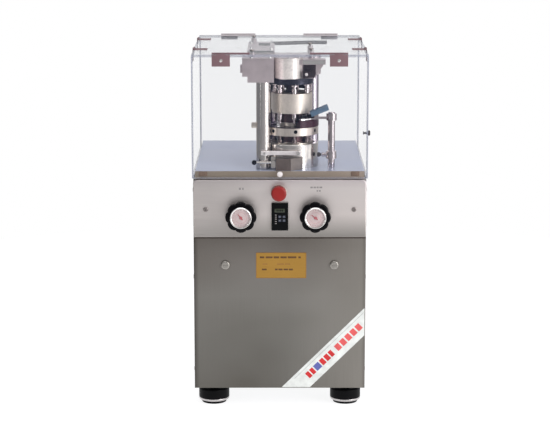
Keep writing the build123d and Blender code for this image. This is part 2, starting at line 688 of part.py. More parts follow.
def guard_top():
    gap = 0.8
    sheet = span((-GUARD_HALF_W + gap, GUARD_HALF_W - gap), (gap, CABINET_D - gap),
                 (GUARD_TOP - ACRYLIC, GUARD_TOP))
    for x, y in GUARD_SCREWS:
        sheet -= rod(x, y, (GUARD_TOP - ACRYLIC - 1, GUARD_TOP + 1), 3.2)
    return sheet


# each side's turn about the guard, its distance from the middle and its pane's half width
SIDES = {
    "front": (0, GUARD_HALF_D, GUARD_HALF_W),
    "right": (90, GUARD_HALF_W, GUARD_HALF_D - ACRYLIC - 0.5),
    "rear": (180, GUARD_HALF_D, GUARD_HALF_W),
    "left": (270, GUARD_HALF_W, GUARD_HALF_D - ACRYLIC - 0.5),
}


def place_side(side, shape):
    """Turn a shape built on a face at y = 0, looking along -Y, onto one side of the guard."""
    angle, distance, _ = SIDES[side]
    middle = Pos(0, GUARD_HALF_D, 0) * Rot(0, 0, angle)
    return middle * Pos(0, -distance, 0) * shape


def knuckle_zones(side, sign):
    """Where a hinge's tab, fixed knuckles and moving knuckle lie along the edge."""
    start, bar_length, _, tab_length, _ = HINGES[side]
    outer = start + bar_length
    tab = (outer - tab_length, outer)
    fixed = [(start, tab[0] + 13), (tab[1] - 13, tab[1])]
    moving = (tab[0] + 13.3, tab[1] - 13.3)
    turn = lambda zone: tuple(sorted((sign * zone[0], sign * zone[1])))
    return turn(tab), [turn(zone) for zone in fixed], turn(moving)


def fixed_leaf(side, sign):
    """Top leaf with its two knuckles and the pin."""
    start, bar_length, depth, _, _ = HINGES[side]
    tab, fixed, _ = knuckle_zones(side, sign)
    bar = sorted((sign * start, sign * (start + bar_length)))
    leaf_start = HINGE_IN + 3.2
    leaf = span(bar, (leaf_start, leaf_start + depth), (GUARD_TOP, GUARD_TOP + LEAF))
    for zone in fixed:
        leaf += span(zone, (HINGE_IN, HINGE_IN + 4), (GUARD_TOP, GUARD_TOP + LEAF))
        leaf += rod_x(HINGE_IN, HINGE_Z, zone, KNUCKLE_R)
    return leaf + rod_x(HINGE_IN, HINGE_Z, tab, HINGE_PIN_R)


def moving_leaf(side, sign):
    """Tab that is screwed to the pane, folded up and over to its knuckle."""
    tab, _, moving = knuckle_zones(side, sign)
    drop = HINGES[side][4]
    leaf = span(tab, (-LEAF, 0), (GUARD_TOP - drop, GUARD_TOP - 0.5))
    leaf += span(moving, (-LEAF, 0), (GUARD_TOP - 2, HINGE_Z + 2))
    leaf += span(moving, (-LEAF, HINGE_IN), (HINGE_Z - 1, HINGE_Z + 2))
    leaf += rod_x(HINGE_IN, HINGE_Z, moving, KNUCKLE_R)
    return leaf - rod_x(HINGE_IN, HINGE_Z, (tab[0] - 1, tab[1] + 1), HINGE_PIN_R + RUN)


def hinge_fixed_leaves():
    return [place_side(side, fixed_leaf(side, sign)) for side in SIDES for sign in (-1, 1)]


def knob(x, z, reach):
    """Small turned knob on a stem."""
    stem = rod_y(x, z, (-reach, 0), 4)
    return stem + rod_y(x, z, (-reach, -reach + 10), 8)


def window(side):
    """Clear pane with its two screwed hinge tabs, and a knob where the pane has one."""
    _, _, half = SIDES[side]
    solids = [span((-half, half), (0, ACRYLIC), (PANE_BOTTOM, PANE_TOP))]
    for sign in (-1, 1):
        solids.append(moving_leaf(side, sign))
    if side == "front":
        solids.append(knob(0, 697, 14))
    if side == "right":
        solids.append(knob(0, 771, KNOB_REACH))
    return [place_side(side, solid) for solid in solids]


# ---------------------------------------------------------------- fasteners

def screw():
    """Button-head screw, head up, standing on z = 0."""
    head = rod(0, 0, (0, 3.5), 7)
    head = fillet(head.faces().sort_by(Axis.Z)[-1].edges(), 1.8)
    head -= extrude(RegularPolygon(2.4, 6), 6)
    return head + rod(0, 0, (-6, 0.5), 3)


def fasteners():
    """All the identical screws of the casing, guard and head."""
    built = [Pos(x, y, GUARD_TOP) * screw() for x, y in GUARD_SCREWS]
    built += [Pos(x, 0, 592) * Rot(90, 0, 0) * screw() for x in (-214, 214)]
    for z in (100, 380, 640):
        for y in (60, CABINET_D - 60):
            built.append(Pos(250, y, z) * Rot(0, 90, 0) * screw())
            built.append(Pos(-250, y, z) * Rot(0, -90, 0) * screw())
    for z in (100, 640):
        for x in (-225, 225):
            built.append(Pos(x, CABINET_D, z) * Rot(-90, 0, 0) * screw())
    return built


save("cabinet_frame", base_plate(), *frame_posts())
save("side_panels", *side_panels())
save("rear_panel", rear_panel())
save("cable_gland", cable_gland())
save("control_panel", control_panel())
save("keypad_body", keypad_body())
save("levelling_feet", *levelling_feet())
save("worktop", worktop())
save("base_drum", base_drum())
save("scraper_bar", scraper_bar())
save("chute", chute())
save("columns", *columns())
save("head_casting", head_casting())
save("upper_cam", upper_cam())
save("gear_motor", *gear_motor())
save("feed_frame", feed_frame())
save("feeder_post", feeder_post())
save("hopper_chute", hopper_chute())
save("guard_top", guard_top())
save("hinge_fixed_leaves", *hinge_fixed_leaves())
save("fasteners", *fasteners())

save("spindle", spindle())
save("upper_turret", upper_turret())
save("die_table", die_table())
save("lower_guide", lower_guide())
save("dies", *dies())
save("worm_wheel", worm_wheel())
for number in range(1, STATIONS + 1):
    save(f"upper_punch_{number}", upper_punch(number - 1))
    save(f"lower_punch_{number}", lower_punch(number - 1))
save("worm_shaft", worm_shaft())
save("pressure_roller_upper", pressure_roller(UPPER_ROLLER_Z, 9, (-25, 25)))
save("pressure_roller_lower", pressure_roller(LOWER_ROLLER_Z, 7, (-18, 15)))

save("handwheel_left", handwheel(WHEEL_LEFT_X))
save("handwheel_right", handwheel(WHEEL_RIGHT_X))
save("estop_button", estop_button())
for name, x, z in KEYS:
    save(f"key_{name}", key(x, z))
save("service_door", service_door())
save("nameplate", nameplate())
save("door_lock_left", door_lock(-LOCK_X))
save("door_lock_right", door_lock(LOCK_X))
save("clamp_lever", clamp_lever())
for side in SIDES:
    save(f"window_{side}", *window(side))
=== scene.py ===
"""Looks of the tablet press: finishes, clear guard, dials, small fittings, light and camera."""
from math import cos, pi, radians, sin

import bmesh
import bpy
from mathutils import Matrix, Vector


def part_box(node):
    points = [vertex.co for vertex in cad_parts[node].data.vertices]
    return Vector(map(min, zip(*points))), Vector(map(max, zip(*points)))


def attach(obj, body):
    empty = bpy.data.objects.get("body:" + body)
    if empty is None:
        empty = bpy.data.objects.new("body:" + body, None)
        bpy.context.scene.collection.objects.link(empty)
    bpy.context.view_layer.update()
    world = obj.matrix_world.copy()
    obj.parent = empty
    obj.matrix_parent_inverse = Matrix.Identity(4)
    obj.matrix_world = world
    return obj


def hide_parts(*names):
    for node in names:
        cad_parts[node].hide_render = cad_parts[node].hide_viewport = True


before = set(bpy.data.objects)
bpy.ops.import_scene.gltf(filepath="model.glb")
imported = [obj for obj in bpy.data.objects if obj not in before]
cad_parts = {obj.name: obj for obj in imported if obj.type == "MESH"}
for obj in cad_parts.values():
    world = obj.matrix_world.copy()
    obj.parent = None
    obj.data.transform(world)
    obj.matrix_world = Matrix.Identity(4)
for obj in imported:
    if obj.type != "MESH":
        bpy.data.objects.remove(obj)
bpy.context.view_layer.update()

MM = 0.001
door_low, door_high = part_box("service_door")
CENTRE_X = (door_low.x + door_high.x) / 2
FRONT_Y = door_low.y


def at(x, y, z):
    """A place in millimetres from the cabinet's centre line, front face and floor."""
    return Vector((CENTRE_X + x * MM, FRONT_Y + y * MM, z * MM))


def limits(node):
    """A CAD node's (low, high) along X, Y and Z, in the same millimetres as at()."""
    low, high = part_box(node)
    start = at(0, 0, 0)
    return [((low[k] - start[k]) / MM, (high[k] - start[k]) / MM) for k in range(3)]


def middle(pair):
    return (pair[0] + pair[1]) / 2


# ---------------------------------------------------------------- mesh building

SHARP = radians(35)
POLE = 1e-9


class Shape:
    """A mesh put together from blocks, plates and turned parts, in cabinet millimetres."""

    def __init__(self):
        self.mesh = bmesh.new()

    def block(self, x, y, z):
        """A box from (low, high) pairs along X, Y and Z."""
        made = bmesh.ops.create_cube(self.mesh, size=1)
        for vert in made["verts"]:
            for k, (low, high) in enumerate((x, y, z)):
                vert.co[k] = low if vert.co[k] < 0 else high
        return self

    def plate(self, outline, y):
        """An outline of (x, z) points, thick from y[0] to y[1]."""
        back = [self.mesh.verts.new((px, y[1], pz)) for px, pz in outline]
        front = [self.mesh.verts.new((px, y[0], pz)) for px, pz in outline]
        self.mesh.faces.new(back)
        self.mesh.faces.new(front)
        for k in range(len(outline)):
            after = (k + 1) % len(outline)
            self.mesh.faces.new((back[k], back[after], front[after], front[k]))
        return self

    def turned(self, centre, profile, toward=(0, 0, 1), steps=48, closed=False):
        """A turned part: its profile is (radius, height) points along the axis."""
        axis = Vector(toward).to_track_quat("Z", "Y").to_matrix()
        rings = []
        for radius, height in profile:
            count = steps if radius > POLE else 1
            rings.append([self.mesh.verts.new(
                Vector(centre) + axis @ Vector((radius * cos(2 * pi * k / count),
                                                radius * sin(2 * pi * k / count), height)))
                for k in range(count)])
        if closed:
            rings.append(rings[0])
        for low, high in zip(rings, rings[1:]):
            for k in range(steps):
                corners = []
                for ring, turn in ((low, k), (low, k + 1), (high, k + 1), (high, k)):
                    vert = ring[turn % len(ring)]
                    if vert not in corners:
                        corners.append(vert)
                self.mesh.faces.new(corners)
        return self

    def layers(self, rings):
        """A closed skin through rings that have the same number of points."""
        built = [[self.mesh.verts.new(point) for point in ring] for ring in rings]
        self.mesh.faces.new(built[0])
        self.mesh.faces.new(built[-1])
        for low, high in zip(built, built[1:]):
            for k in range(len(low)):
                after = (k + 1) % len(low)
                self.mesh.faces.new((low[k], low[after], high[after], high[k]))
        return self

    def arc(self, centre, inner, outer, start, stop, low, high, steps=24):
        """Part of a flat ring, between two angles counted from the front towards the right."""
        sections = []
        for k in range(steps + 1):
            angle = radians(start + (stop - start) * k / steps)
            sections.append([(centre[0] + radius * sin(angle), centre[1] - radius * cos(angle), z)
                             for radius, z in ((inner, low), (outer, low), (outer, high),
                                               (inner, high))])
        return self.layers(sections)

    def turn(self, centre, angle, axis="Z"):
        """Turns everything built so far about a point, by an angle in degrees."""
        bmesh.ops.rotate(self.mesh, verts=self.mesh.verts, cent=Vector(centre),
                         matrix=Matrix.Rotation(radians(angle), 3, axis))
        return self

    def shift(self, x, y, z):
        bmesh.ops.translate(self.mesh, verts=self.mesh.verts, vec=(x, y, z))
        return self

    def take(self, other):
        """Adds another shape's mesh to this one."""
        spare = bpy.data.meshes.new("spare")
        other.mesh.to_mesh(spare)
        other.mesh.free()
        self.mesh.from_mesh(spare)
        bpy.data.meshes.remove(spare)
        return self

    def finish(self, name, look, body, slot, soften=0.0, stands_for=()):
        """Makes the object, in metres, riding on a body, with softened edges."""
        bmesh.ops.recalc_face_normals(self.mesh, faces=self.mesh.faces)
        if soften:
            crisp = [edge for edge in self.mesh.edges
                     if len(edge.link_faces) == 2 and edge.calc_face_angle() > SHARP]
            bmesh.ops.bevel(self.mesh, geom=crisp, offset=soften, segments=3, profile=0.5,
                            affect="EDGES", clamp_overlap=True)
        for vert in self.mesh.verts:
            vert.co = at(*vert.co)
        data = bpy.data.meshes.new(name)
        self.mesh.to_mesh(data)
        self.mesh.free()
        data.polygons.foreach_set("use_smooth", [True] * len(data.polygons))
        data.set_sharp_from_angle(angle=SHARP)
        data.materials.append(FINISHES[look])
        made = bpy.data.objects.new(name, data)
        bpy.context.scene.collection.objects.link(made)
        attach(made, body)
        if stands_for:
            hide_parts(*stands_for)
        return made


# ---------------------------------------------------------------- finishes

def linear(*colour):
    """A display colour, 0 to 255, as the shader's linear numbers."""
    return [((value / 255 + 0.055) / 1.055) ** 2.4 if value > 10 else value / 255 / 12.92
            for value in colour]


class Finish:
    """One material: a Principled shader with real-scale patterns on its sockets."""

    def __init__(self, name, colour, metallic=0.0, roughness=0.5, **values):
        self.material = bpy.data.materials.new(name)
        self.material.use_nodes = True
        self.tree = self.material.node_tree
        self.shader = self.tree.nodes["Principled BSDF"]
        self.colour = linear(*colour)
        self.put("Base Color", (*self.colour, 1))
        self.put("Metallic", metallic)
        self.put("Roughness", roughness)
        for socket, value in values.items():
            self.put(socket.replace("_", " ").title().replace("Ior", "IOR"), value)
        self.place = self.node("TexCoord").outputs["Object"]

    def node(self, kind):
        return self.tree.nodes.new("ShaderNode" + kind)

    def put(self, socket, value):
        self.shader.inputs[socket].default_value = value

    def link(self, source, target):
        self.tree.links.new(source, target)

    def noise(self, size, stretch=(1, 1, 1), detail=3.0, turbulence=0.0):
        """Noise with features of about size millimetres, longer along the stretched axes."""
        mapping = self.node("Mapping")
        mapping.inputs["Scale"].default_value = [1 / (size * MM * k) for k in stretch]
        texture = self.node("TexNoise")
        texture.inputs["Scale"].default_value = 1.0
        texture.inputs["Detail"].default_value = detail
        texture.inputs["Distortion"].default_value = turbulence
        self.link(self.place, mapping.inputs["Vector"])
        self.link(mapping.outputs["Vector"], texture.inputs["Vector"])
        return texture.outputs["Fac"]

    def across(self):
        """The distance from the cabinet's centre line, in metres."""
        split = self.node("SeparateXYZ")
        self.link(self.place, split.inputs["Vector"])
        return self.between(split.outputs["X"], CENTRE_X - 1, CENTRE_X + 1, -1.0, 1.0)

    def part(self, axis, low, high, source=None):
        """How far a surface lies between two places along an axis, from 0 to 1."""
        split = self.node("SeparateXYZ")
        self.link(source or self.place, split.inputs["Vector"])
        return self.between(split.outputs[axis], low, high, 0.0, 1.0)

    def upward(self):
        """1 where the surface looks up, 0 where it doesn't."""
        normal = self.node("NewGeometry").outputs["Normal"]
        return self.part("Z", 0.3, 0.7, normal)

    def between(self, value, low, high, start, end):
        """Start where the value is low or less, end where it is high or more."""
        spread = self.node("MapRange")
        self.link(value, spread.inputs["Value"])
        for socket, number in zip(("From Min", "From Max", "To Min", "To Max"),
                                  (low, high, start, end)):
            spread.inputs[socket].default_value = number
        return spread.outputs["Result"]

    def join(self, first, second, how="ADD"):
        """Adds or multiplies a value and another value or a plain number."""
        joined = self.node("Math")
        joined.operation = how
        self.link(first, joined.inputs[0])
        if hasattr(second, "is_linked"):
            self.link(second, joined.inputs[1])
        else:
            joined.inputs[1].default_value = second
        return joined.outputs["Value"]

    def shades(self, value, *stops):
        """A colour ramp: each stop is (position, (r, g, b)) in display colours."""
        ramp = self.node("ValToRGB")
        while len(ramp.color_ramp.elements) < len(stops):
            ramp.color_ramp.elements.new(0.5)
        for element, (position, colour) in zip(ramp.color_ramp.elements, stops):
            element.position = position
            element.color = (*linear(*colour), 1)
        self.link(value, ramp.inputs["Fac"])
        return ramp.outputs["Color"]

    def grade(self, value, dark, light):
        """Two display colours, blended over the middle of a noise."""
        return self.shades(value, (0.3, dark), (0.7, light))

    def mix(self, amount, first, second):
        blend = self.node("Mix")
        blend.data_type = "RGBA"
        self.link(amount, blend.inputs["Factor"])
        self.link(first, blend.inputs["A"])
        self.link(second, blend.inputs["B"])
        return blend.outputs["Result"]

    def paint(self, colour):
        self.link(colour, self.shader.inputs["Base Color"])
        return self

    def mottle(self, value, amount):
        """Lightens and darkens the base colour by a share of itself."""
        dark = [max(0.0, k * (1 - amount)) for k in self.colour]
        light = [min(1.0, k * (1 + amount)) for k in self.colour]
        ramp = self.node("ValToRGB")
        stops = ((0.3, dark), (0.7, light))
        for element, (position, colour) in zip(ramp.color_ramp.elements, stops):
            element.position = position
            element.color = (*colour, 1)
        self.link(value, ramp.inputs["Fac"])
        return self.paint(ramp.outputs["Color"])

    def rough(self, value, low, high):
        self.link(self.between(value, 0.25, 0.75, low, high), self.shader.inputs["Roughness"])
        return self

    def bump(self, value, depth):
        """Raises the surface by depth millimetres where the value is 1."""
        bump = self.node("Bump")
        bump.inputs["Strength"].default_value = 1.0
        bump.inputs["Distance"].default_value = depth * MM
        self.link(value, bump.inputs["Height"])
        self.link(bump.outputs["Normal"], self.shader.inputs["Normal"])
        return self


def brushed(name, colour, roughness, grain):
    """Brushed sheet steel: long fine scratches along the grain and a slow unevenness."""
    finish = Finish(name, colour, metallic=1.0, roughness=roughness)
    scratches = finish.noise(0.9, grain, detail=5.0)
    cloud = finish.noise(140, detail=2.0)
    both = finish.join(finish.join(scratches, 0.5, "MULTIPLY"),
                       finish.join(cloud, 0.5, "MULTIPLY"))
    finish.mottle(both, 0.10)
    finish.rough(scratches, roughness - 0.07, roughness + 0.09)
    return finish.bump(scratches, 0.004).material


def turned_steel(name, colour, roughness):
    """Lathe-turned steel: fine rings across the vertical axis, and a faint oil film."""
    finish = Finish(name, colour, metallic=1.0, roughness=roughness)
    rings = finish.noise(0.6, (60, 60, 1), detail=3.0)
    film = finish.noise(18, detail=3.0, turbulence=0.6)
    finish.mottle(film, 0.08)
    finish.rough(rings, roughness * 0.7, roughness * 1.5)
    return finish.bump(rings, 0.002).material


# the heights, in metres, over which each sheet's painted shade changes
PANEL_SHADE_SPAN = (0.509, 0.68)
DOOR_SHADE_SPAN = (0.05, 0.51)


def panel_steel():
    """Control panel: light satin sheet, with painted shade darkening it towards the bottom and
    over its left side.
    """
    finish = Finish("panel_steel", (198, 192, 189), metallic=1.0, roughness=0.42)
    scratches = finish.noise(0.9, (90, 90, 1), detail=5.0)
    height = finish.part("Z", *PANEL_SHADE_SPAN)
    # painted shade: the sheet darker towards its bottom edge and a little at its top, lightest in
    # the upper middle
    painted_shade_bands = finish.shades(height, (0.0, (150, 146, 142)), (0.12, (176, 171, 167)),
                          (0.40, (224, 216, 213)), (0.85, (228, 221, 219)),
                          (1.0, (214, 205, 206)))
    # painted shade: a darker tone blended in over the panel's left side
    left = finish.grade(scratches, (178, 173, 171), (192, 187, 184))
    finish.paint(finish.mix(finish.between(finish.across(), -0.20, -0.02, 0.55, 0.0),
                            painted_shade_bands, left))
    finish.rough(scratches, 0.35, 0.51)
    return finish.bump(scratches, 0.004).material


def door_steel():
    """Service door: darker sheet with random clouding, painted shade towards its top and bottom
    and on its folded side edges, and painted light towards its right side.
    """
    finish = Finish("door_steel", (140, 138, 132), metallic=1.0, roughness=0.44)
    scratches = finish.noise(0.9, (1, 1, 120), detail=5.0)
    cloud = finish.noise(210, (1.6, 1, 1), detail=1.5, turbulence=0.4)
    height = finish.part("Z", *DOOR_SHADE_SPAN)
    # painted shade: the sheet darker towards its top and bottom, lightest a little above the
    # middle
    painted_shade_bands = finish.shades(height, (0.0, (94, 92, 87)), (0.28, (108, 107, 102)),
                          (0.62, (134, 132, 127)), (0.85, (124, 118, 113)),
                          (1.0, (110, 103, 98)))
    clouds = finish.grade(cloud, (106, 102, 96), (142, 139, 135))
    half = finish.between(scratches, 0.2, 0.8, 0.25, 0.6)
    # painted light: a lighter tone blended in towards the door's right side
    right = finish.grade(scratches, (146, 142, 135), (156, 151, 145))
    right_light_mask = finish.between(finish.across(), 0.02, 0.24, 0.0, 0.6)
    sheet = finish.mix(right_light_mask, finish.mix(half, painted_shade_bands, clouds), right)
    # painted shade on the door's folded left and right edges
    fold_shade = finish.grade(scratches, (58, 54, 52), (74, 70, 67))
    fold_shade_mask = finish.join(finish.between(finish.across(), -0.2474, -0.236, 0.6, 0.0),
                        finish.between(finish.across(), 0.239, 0.2474, 0.0, 0.35))
    finish.paint(finish.mix(fold_shade_mask, sheet, fold_shade))
    finish.rough(scratches, 0.36, 0.52)
    return finish.bump(scratches, 0.004).material


def worktop_steel():
    """Worktop: polished sheet with wiping marks; its top a painted blue-grey reflection, its
    folded skirt a darker, browner painted reflection with painted light towards the right.
    """
    finish = Finish("worktop_steel", (146, 152, 172), metallic=0.5, roughness=0.36,
                    specular_ior_level=0.1)
    wiping = finish.noise(130, (2, 1, 1), detail=3.0, turbulence=0.6)
    # painted reflection: a blue-grey top and a browner skirt on the same sheet
    top = finish.grade(wiping, (174, 180, 198), (184, 191, 211))
    skirt = finish.grade(wiping, (146, 133, 116), (166, 152, 136))
    # painted light: the skirt lighter towards the right
    right = finish.grade(wiping, (184, 166, 150), (204, 187, 172))
    sides = finish.mix(finish.between(finish.across(), 0.0, 0.22, 0.0, 0.7), skirt, right)
    finish.paint(finish.mix(finish.upward(), sides, top))
    return finish.rough(wiping, 0.32, 0.42).material


def column_steel():
    """Columns: polished in front; the rear left one painted dark as painted shade, the rear right
    one painted duller as a softer painted reflection.
    """
    finish = Finish("column_steel", (226, 221, 216), metallic=1.0, roughness=0.15)
    grain = finish.noise(0.9, (1, 1, 40), detail=4.0)
    front = finish.grade(grain, (220, 214, 210), (232, 227, 223))
    # painted shade: the rear left column near black-violet
    dark = finish.grade(grain, (66, 56, 70), (84, 73, 88))
    # painted reflection: the rear right column duller than the front pair
    dull = finish.grade(grain, (190, 182, 194), (204, 196, 206))
    rear = finish.mix(finish.between(finish.across(), 0.02, 0.05, 0.0, 1.0), dark, dull)
    finish.paint(finish.mix(finish.part("Y", -0.15, -0.06), front, rear))
    finish.rough(grain, 0.12, 0.2)
    return finish.bump(grain, 0.002).material


def hinge_steel():
    """Hinges: brownish plating, painted lighter grey on the rear pair as painted light."""
    finish = Finish("hinge_steel", (126, 101, 106), roughness=0.55, specular_ior_level=0.12)
    grain = finish.noise(0.8, (4, 4, 1), detail=4.0)
    brown = finish.grade(grain, (120, 95, 100), (132, 107, 112))
    # painted light: the rear pair a lighter grey copy of the plating
    grey = finish.grade(grain, (180, 173, 176), (194, 187, 190))
    rear_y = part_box("guard_top")[1].y
    finish.paint(finish.mix(finish.part("Y", rear_y - 0.050, rear_y - 0.045), brown, grey))
    finish.rough(grain, 0.48, 0.62)
    return finish.bump(grain, 0.004).material


def table_steel():
    """Die table: bright turned rim, and a top face painted dark as painted shade."""
    finish = Finish("table_steel", (220, 210, 201), metallic=1.0, roughness=0.34)
    grain = finish.noise(0.8, (1, 1, 30), detail=4.0)
    rim = finish.grade(grain, (212, 202, 194), (228, 218, 210))
    # painted shade on the top face of the table
    top = finish.grade(grain, (50, 38, 43), (64, 50, 55))
    finish.paint(finish.mix(finish.upward(), rim, top))
    finish.rough(grain, 0.28, 0.42)
    return finish.bump(grain, 0.003).material


def cast_metal(name, colour, roughness=0.38):
    """Sand-cast and machined metal: fine pits under a satin face rubbed by wear."""
    finish = Finish(name, colour, metallic=0.85, roughness=roughness)
    pits = finish.noise(1.6, detail=6.0)
    cloud = finish.noise(35, detail=3.0)
    finish.mottle(cloud, 0.10)
    finish.rough(pits, roughness - 0.08, roughness + 0.12)
    return finish.bump(pits, 0.05).material


def moulded(name, colour, roughness=0.3, depth=0.01, **values):
    """Moulded plastic with a fine grain and slightly uneven gloss."""
    finish = Finish(name, colour, roughness=roughness, **values)
    grain = finish.noise(0.7, detail=4.0)
    cloud = finish.noise(22, detail=2.0)
    finish.mottle(cloud, 0.12)
    finish.rough(grain, roughness - 0.06, roughness + 0.10)
    return finish.bump(grain, depth).material


def painted_metal(name, colour, metallic, roughness):
    """Metal dulled by paint, oxide or plating: even colour, fine grain, faint smears."""
    finish = Finish(name, colour, metallic=metallic, roughness=roughness)
    grain = finish.noise(0.8, (6, 6, 1), detail=4.0)
    smears = finish.noise(26, detail=3.0, turbulence=0.5)
    finish.mottle(smears, 0.10)
    finish.rough(grain, roughness - 0.06, roughness + 0.08)
    return finish.bump(grain, 0.004).material


def clear_sheet(name, colour, alpha, roughness=0.06):
    """Clear acrylic: a thin tint with a faint haze of wiping marks in its gloss."""
    finish = Finish(name, colour, roughness=roughness, alpha=alpha, ior=1.49)
    haze = finish.noise(45, (1, 1, 3), detail=3.0, turbulence=0.8)
    return finish.rough(haze, roughness, roughness + 0.1).material


def make_finishes():
    """Every material of the object, by the short name that the pieces use."""
    return {
        "cabinet": brushed("cabinet_steel", (150, 149, 146), 0.42, (1, 1, 120)),
        "panel": panel_steel(),
        "door": door_steel(),
        "worktop": worktop_steel(),
        "polished": turned_steel("polished_steel", (226, 221, 216), 0.13),
        "satin": turned_steel("satin_steel", (216, 208, 199), 0.30),
        "tool": turned_steel("tool_steel", (232, 229, 226), 0.10),
        "dark": turned_steel("dark_steel", (70, 64, 74), 0.34),
        "cast": cast_metal("cast_metal", (207, 195, 198)),
        "frame": moulded("frame_paint", (120, 124, 128), 0.45, 0.02),
        "motor": moulded("motor_paint", (64, 92, 104), 0.40, 0.03),
        "bronze": cast_metal("bronze", (158, 112, 62), 0.35),
        "maroon": moulded("maroon_paint", (58, 18, 34), 0.32, 0.006, specular_ior_level=0.3),
        "column": column_steel(),
        "table": table_steel(),
        "guide": turned_steel("guide_steel", (224, 215, 206), 0.44),
        "punch": turned_steel("punch_steel", (212, 202, 205), 0.2),
        # painted shade: the lower punches a darker copy of the punch steel
        "punch_low": turned_steel("lower_punch_shaded_steel", (128, 116, 116), 0.26),
        "post": turned_steel("post_steel", (206, 197, 200), 0.15),
        "chute": turned_steel("chute_steel", (126, 118, 113), 0.46),
        "scraper": painted_metal("scraper_steel", (242, 235, 235), 0.4, 0.3),
        "neck": turned_steel("neck_metal", (76, 58, 60), 0.34),
        "hinge": hinge_steel(),
        "clear": clear_sheet("clear_acrylic", (112, 124, 150), 0.042),
        "clear_top": clear_sheet("guard_top_acrylic", (158, 166, 176), 0.22, 0.2),
        "clear_edge": clear_sheet("acrylic_edge", (170, 174, 190), 0.40, 0.2),
        "cream": painted_metal("painted_sheen_cream", (246, 238, 233), 0.35, 0.28),
        "gusset": painted_metal("gusset_paint", (50, 38, 44), 0.3, 0.35),
        "cam": painted_metal("cam_steel", (34, 34, 50), 0.5, 0.35),
        "chute_mouth_shade_paint": painted_metal("chute_mouth_shade_paint", (104, 92, 86), 0.6, 0.4),
        "tinted": clear_sheet("tinted_sheet", (96, 122, 146), 0.72, 0.1),
        "black": moulded("black_plastic", (5, 5, 9), 0.30, 0.006, specular_ior_level=0.1),
        "keypad": moulded("keypad_plastic", (7, 8, 11), 0.42, specular_ior_level=0.1),
        "lock": turned_steel("lock_steel", (164, 160, 154), 0.30),
        "screw": turned_steel("screw_steel", (150, 143, 141), 0.34),
        "ring": turned_steel("foot_ring_steel", (196, 192, 192), 0.28),
        "key": moulded("key_plastic", (72, 76, 90), 0.45, specular_ior_level=0.2),
        "display": moulded("display_glass", (56, 62, 50), 0.18, 0.002),
        "red": moulded("red_plastic", (144, 20, 16), 0.36),
        "amber": brushed("amber_plate", (184, 142, 72), 0.36, (40, 40, 1)),
        "amber_print": moulded("amber_print", (92, 60, 22), 0.5),
        "rubber": moulded("foot_rubber", (4, 4, 6), 0.42, 0.02, specular_ior_level=0.1),
        "dial": moulded("dial_face", (200, 178, 176), 0.4, 0.002),
        "dial_faint": moulded("dial_faint", (192, 140, 140), 0.4, 0.002),
        "dial_print": moulded("dial_print", (150, 40, 50), 0.4, 0.002),
        "mark": moulded("engraved_mark", (146, 141, 141), 0.5, 0.002),
        "dark_mark": moulded("dark_fitting", (58, 52, 52), 0.45, 0.01),
        "white": moulded("white_plastic", (226, 220, 220), 0.35),
        "bright": turned_steel("bright_steel", (242, 240, 238), 0.16),
        "dial_red": moulded("dial_pointer", (168, 34, 44), 0.35, 0.002),
        "lens": clear_sheet("dial_lens", (236, 238, 244), 0.07),
        "stay": moulded("stay_paint", (18, 5, 12), 0.5, specular_ior_level=0.08),
        "screw_black": moulded("dark_screw_and_slot_shade", (6, 7, 12), 0.5, specular_ior_level=0.08),
        "amber_faint": moulded("amber_faint", (150, 106, 44), 0.5),
        "sticker_pale": moulded("sticker_pale", (228, 92, 92), 0.42, 0.003),
        "sticker": moulded("sticker_film", (228, 231, 228), 0.42, 0.003),
        "sticker_red": moulded("sticker_red", (206, 32, 36), 0.42, 0.003),
        "sticker_blue": moulded("sticker_blue", (92, 98, 170), 0.42, 0.003),
        "sticker_edge": moulded("sticker_edge", (186, 190, 188), 0.42, 0.003),
        "gap": moulded("painted_seam_shadow", (52, 40, 34), 0.6),
        "pad": moulded("seal_pad", (118, 94, 74), 0.6),
    }


FINISHES = make_finishes()

CAD_FINISHES = {
    "cabinet_frame": "frame", "lower_guide": "satin", "side_panels": "cabinet",
    "rear_panel": "cabinet", "cable_gland": "black", "control_panel": "panel",
    "keypad_body": "keypad", "levelling_feet": "rubber", "worktop": "worktop",
    "base_drum": "polished", "scraper_bar": "scraper", "chute": "chute",
    "columns": "column", "head_casting": "cast", "upper_cam": "cam",
    "gear_motor": "motor", "feed_frame": "maroon", "feeder_post": "post",
    "hopper_chute": "tinted", "guard_top": "clear_top", "hinge_fixed_leaves": "hinge",
    "fasteners": "screw", "spindle": "dark", "upper_turret": "guide",
    "die_table": "table", "dies": "tool", "worm_wheel": "bronze", "worm_shaft": "tool",
    "pressure_roller_upper": "tool", "pressure_roller_lower": "tool",
    "estop_button": "red", "service_door": "door", "nameplate": "amber",
    "door_lock_left": "lock", "door_lock_right": "lock", "clamp_lever": "polished",
}


def dress_frame():
    """Gives each CAD node that has a listed finish its material."""
    for name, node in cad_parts.items():
        finish = CAD_FINISHES.get(name)
        if "punch" in name:
            finish = "punch" if name.startswith("upper") else "punch_low"
        if name.startswith("key_"):
            finish = "key"
        if finish is None:
            continue
        node.data.materials.clear()
        node.data.materials.append(FINISHES[finish])


# ---------------------------------------------------------------- clear guard

GUARD_MIDDLE = (0, middle(limits("guard_top")[1]), 0)
GUARD_TOP = limits("guard_top")[2][1]
ACRYLIC = GUARD_TOP - limits("guard_top")[2][0]
EDGE = 2.2
RIM = 0.35
# the hinges on each side: the tab's far end from the middle of the edge, length and drop
TABS = {"front": (194, 52, 34), "right": (172, 46, 34), "rear": (184, 52, 14),
        "left": (172, 46, 34)}
LEAF = 1.0
KNUCKLE_INSET = 13.3
HINGE_Z = GUARD_TOP + 3
HINGE_IN = ACRYLIC / 2
PIN_BARREL_R = 2.6


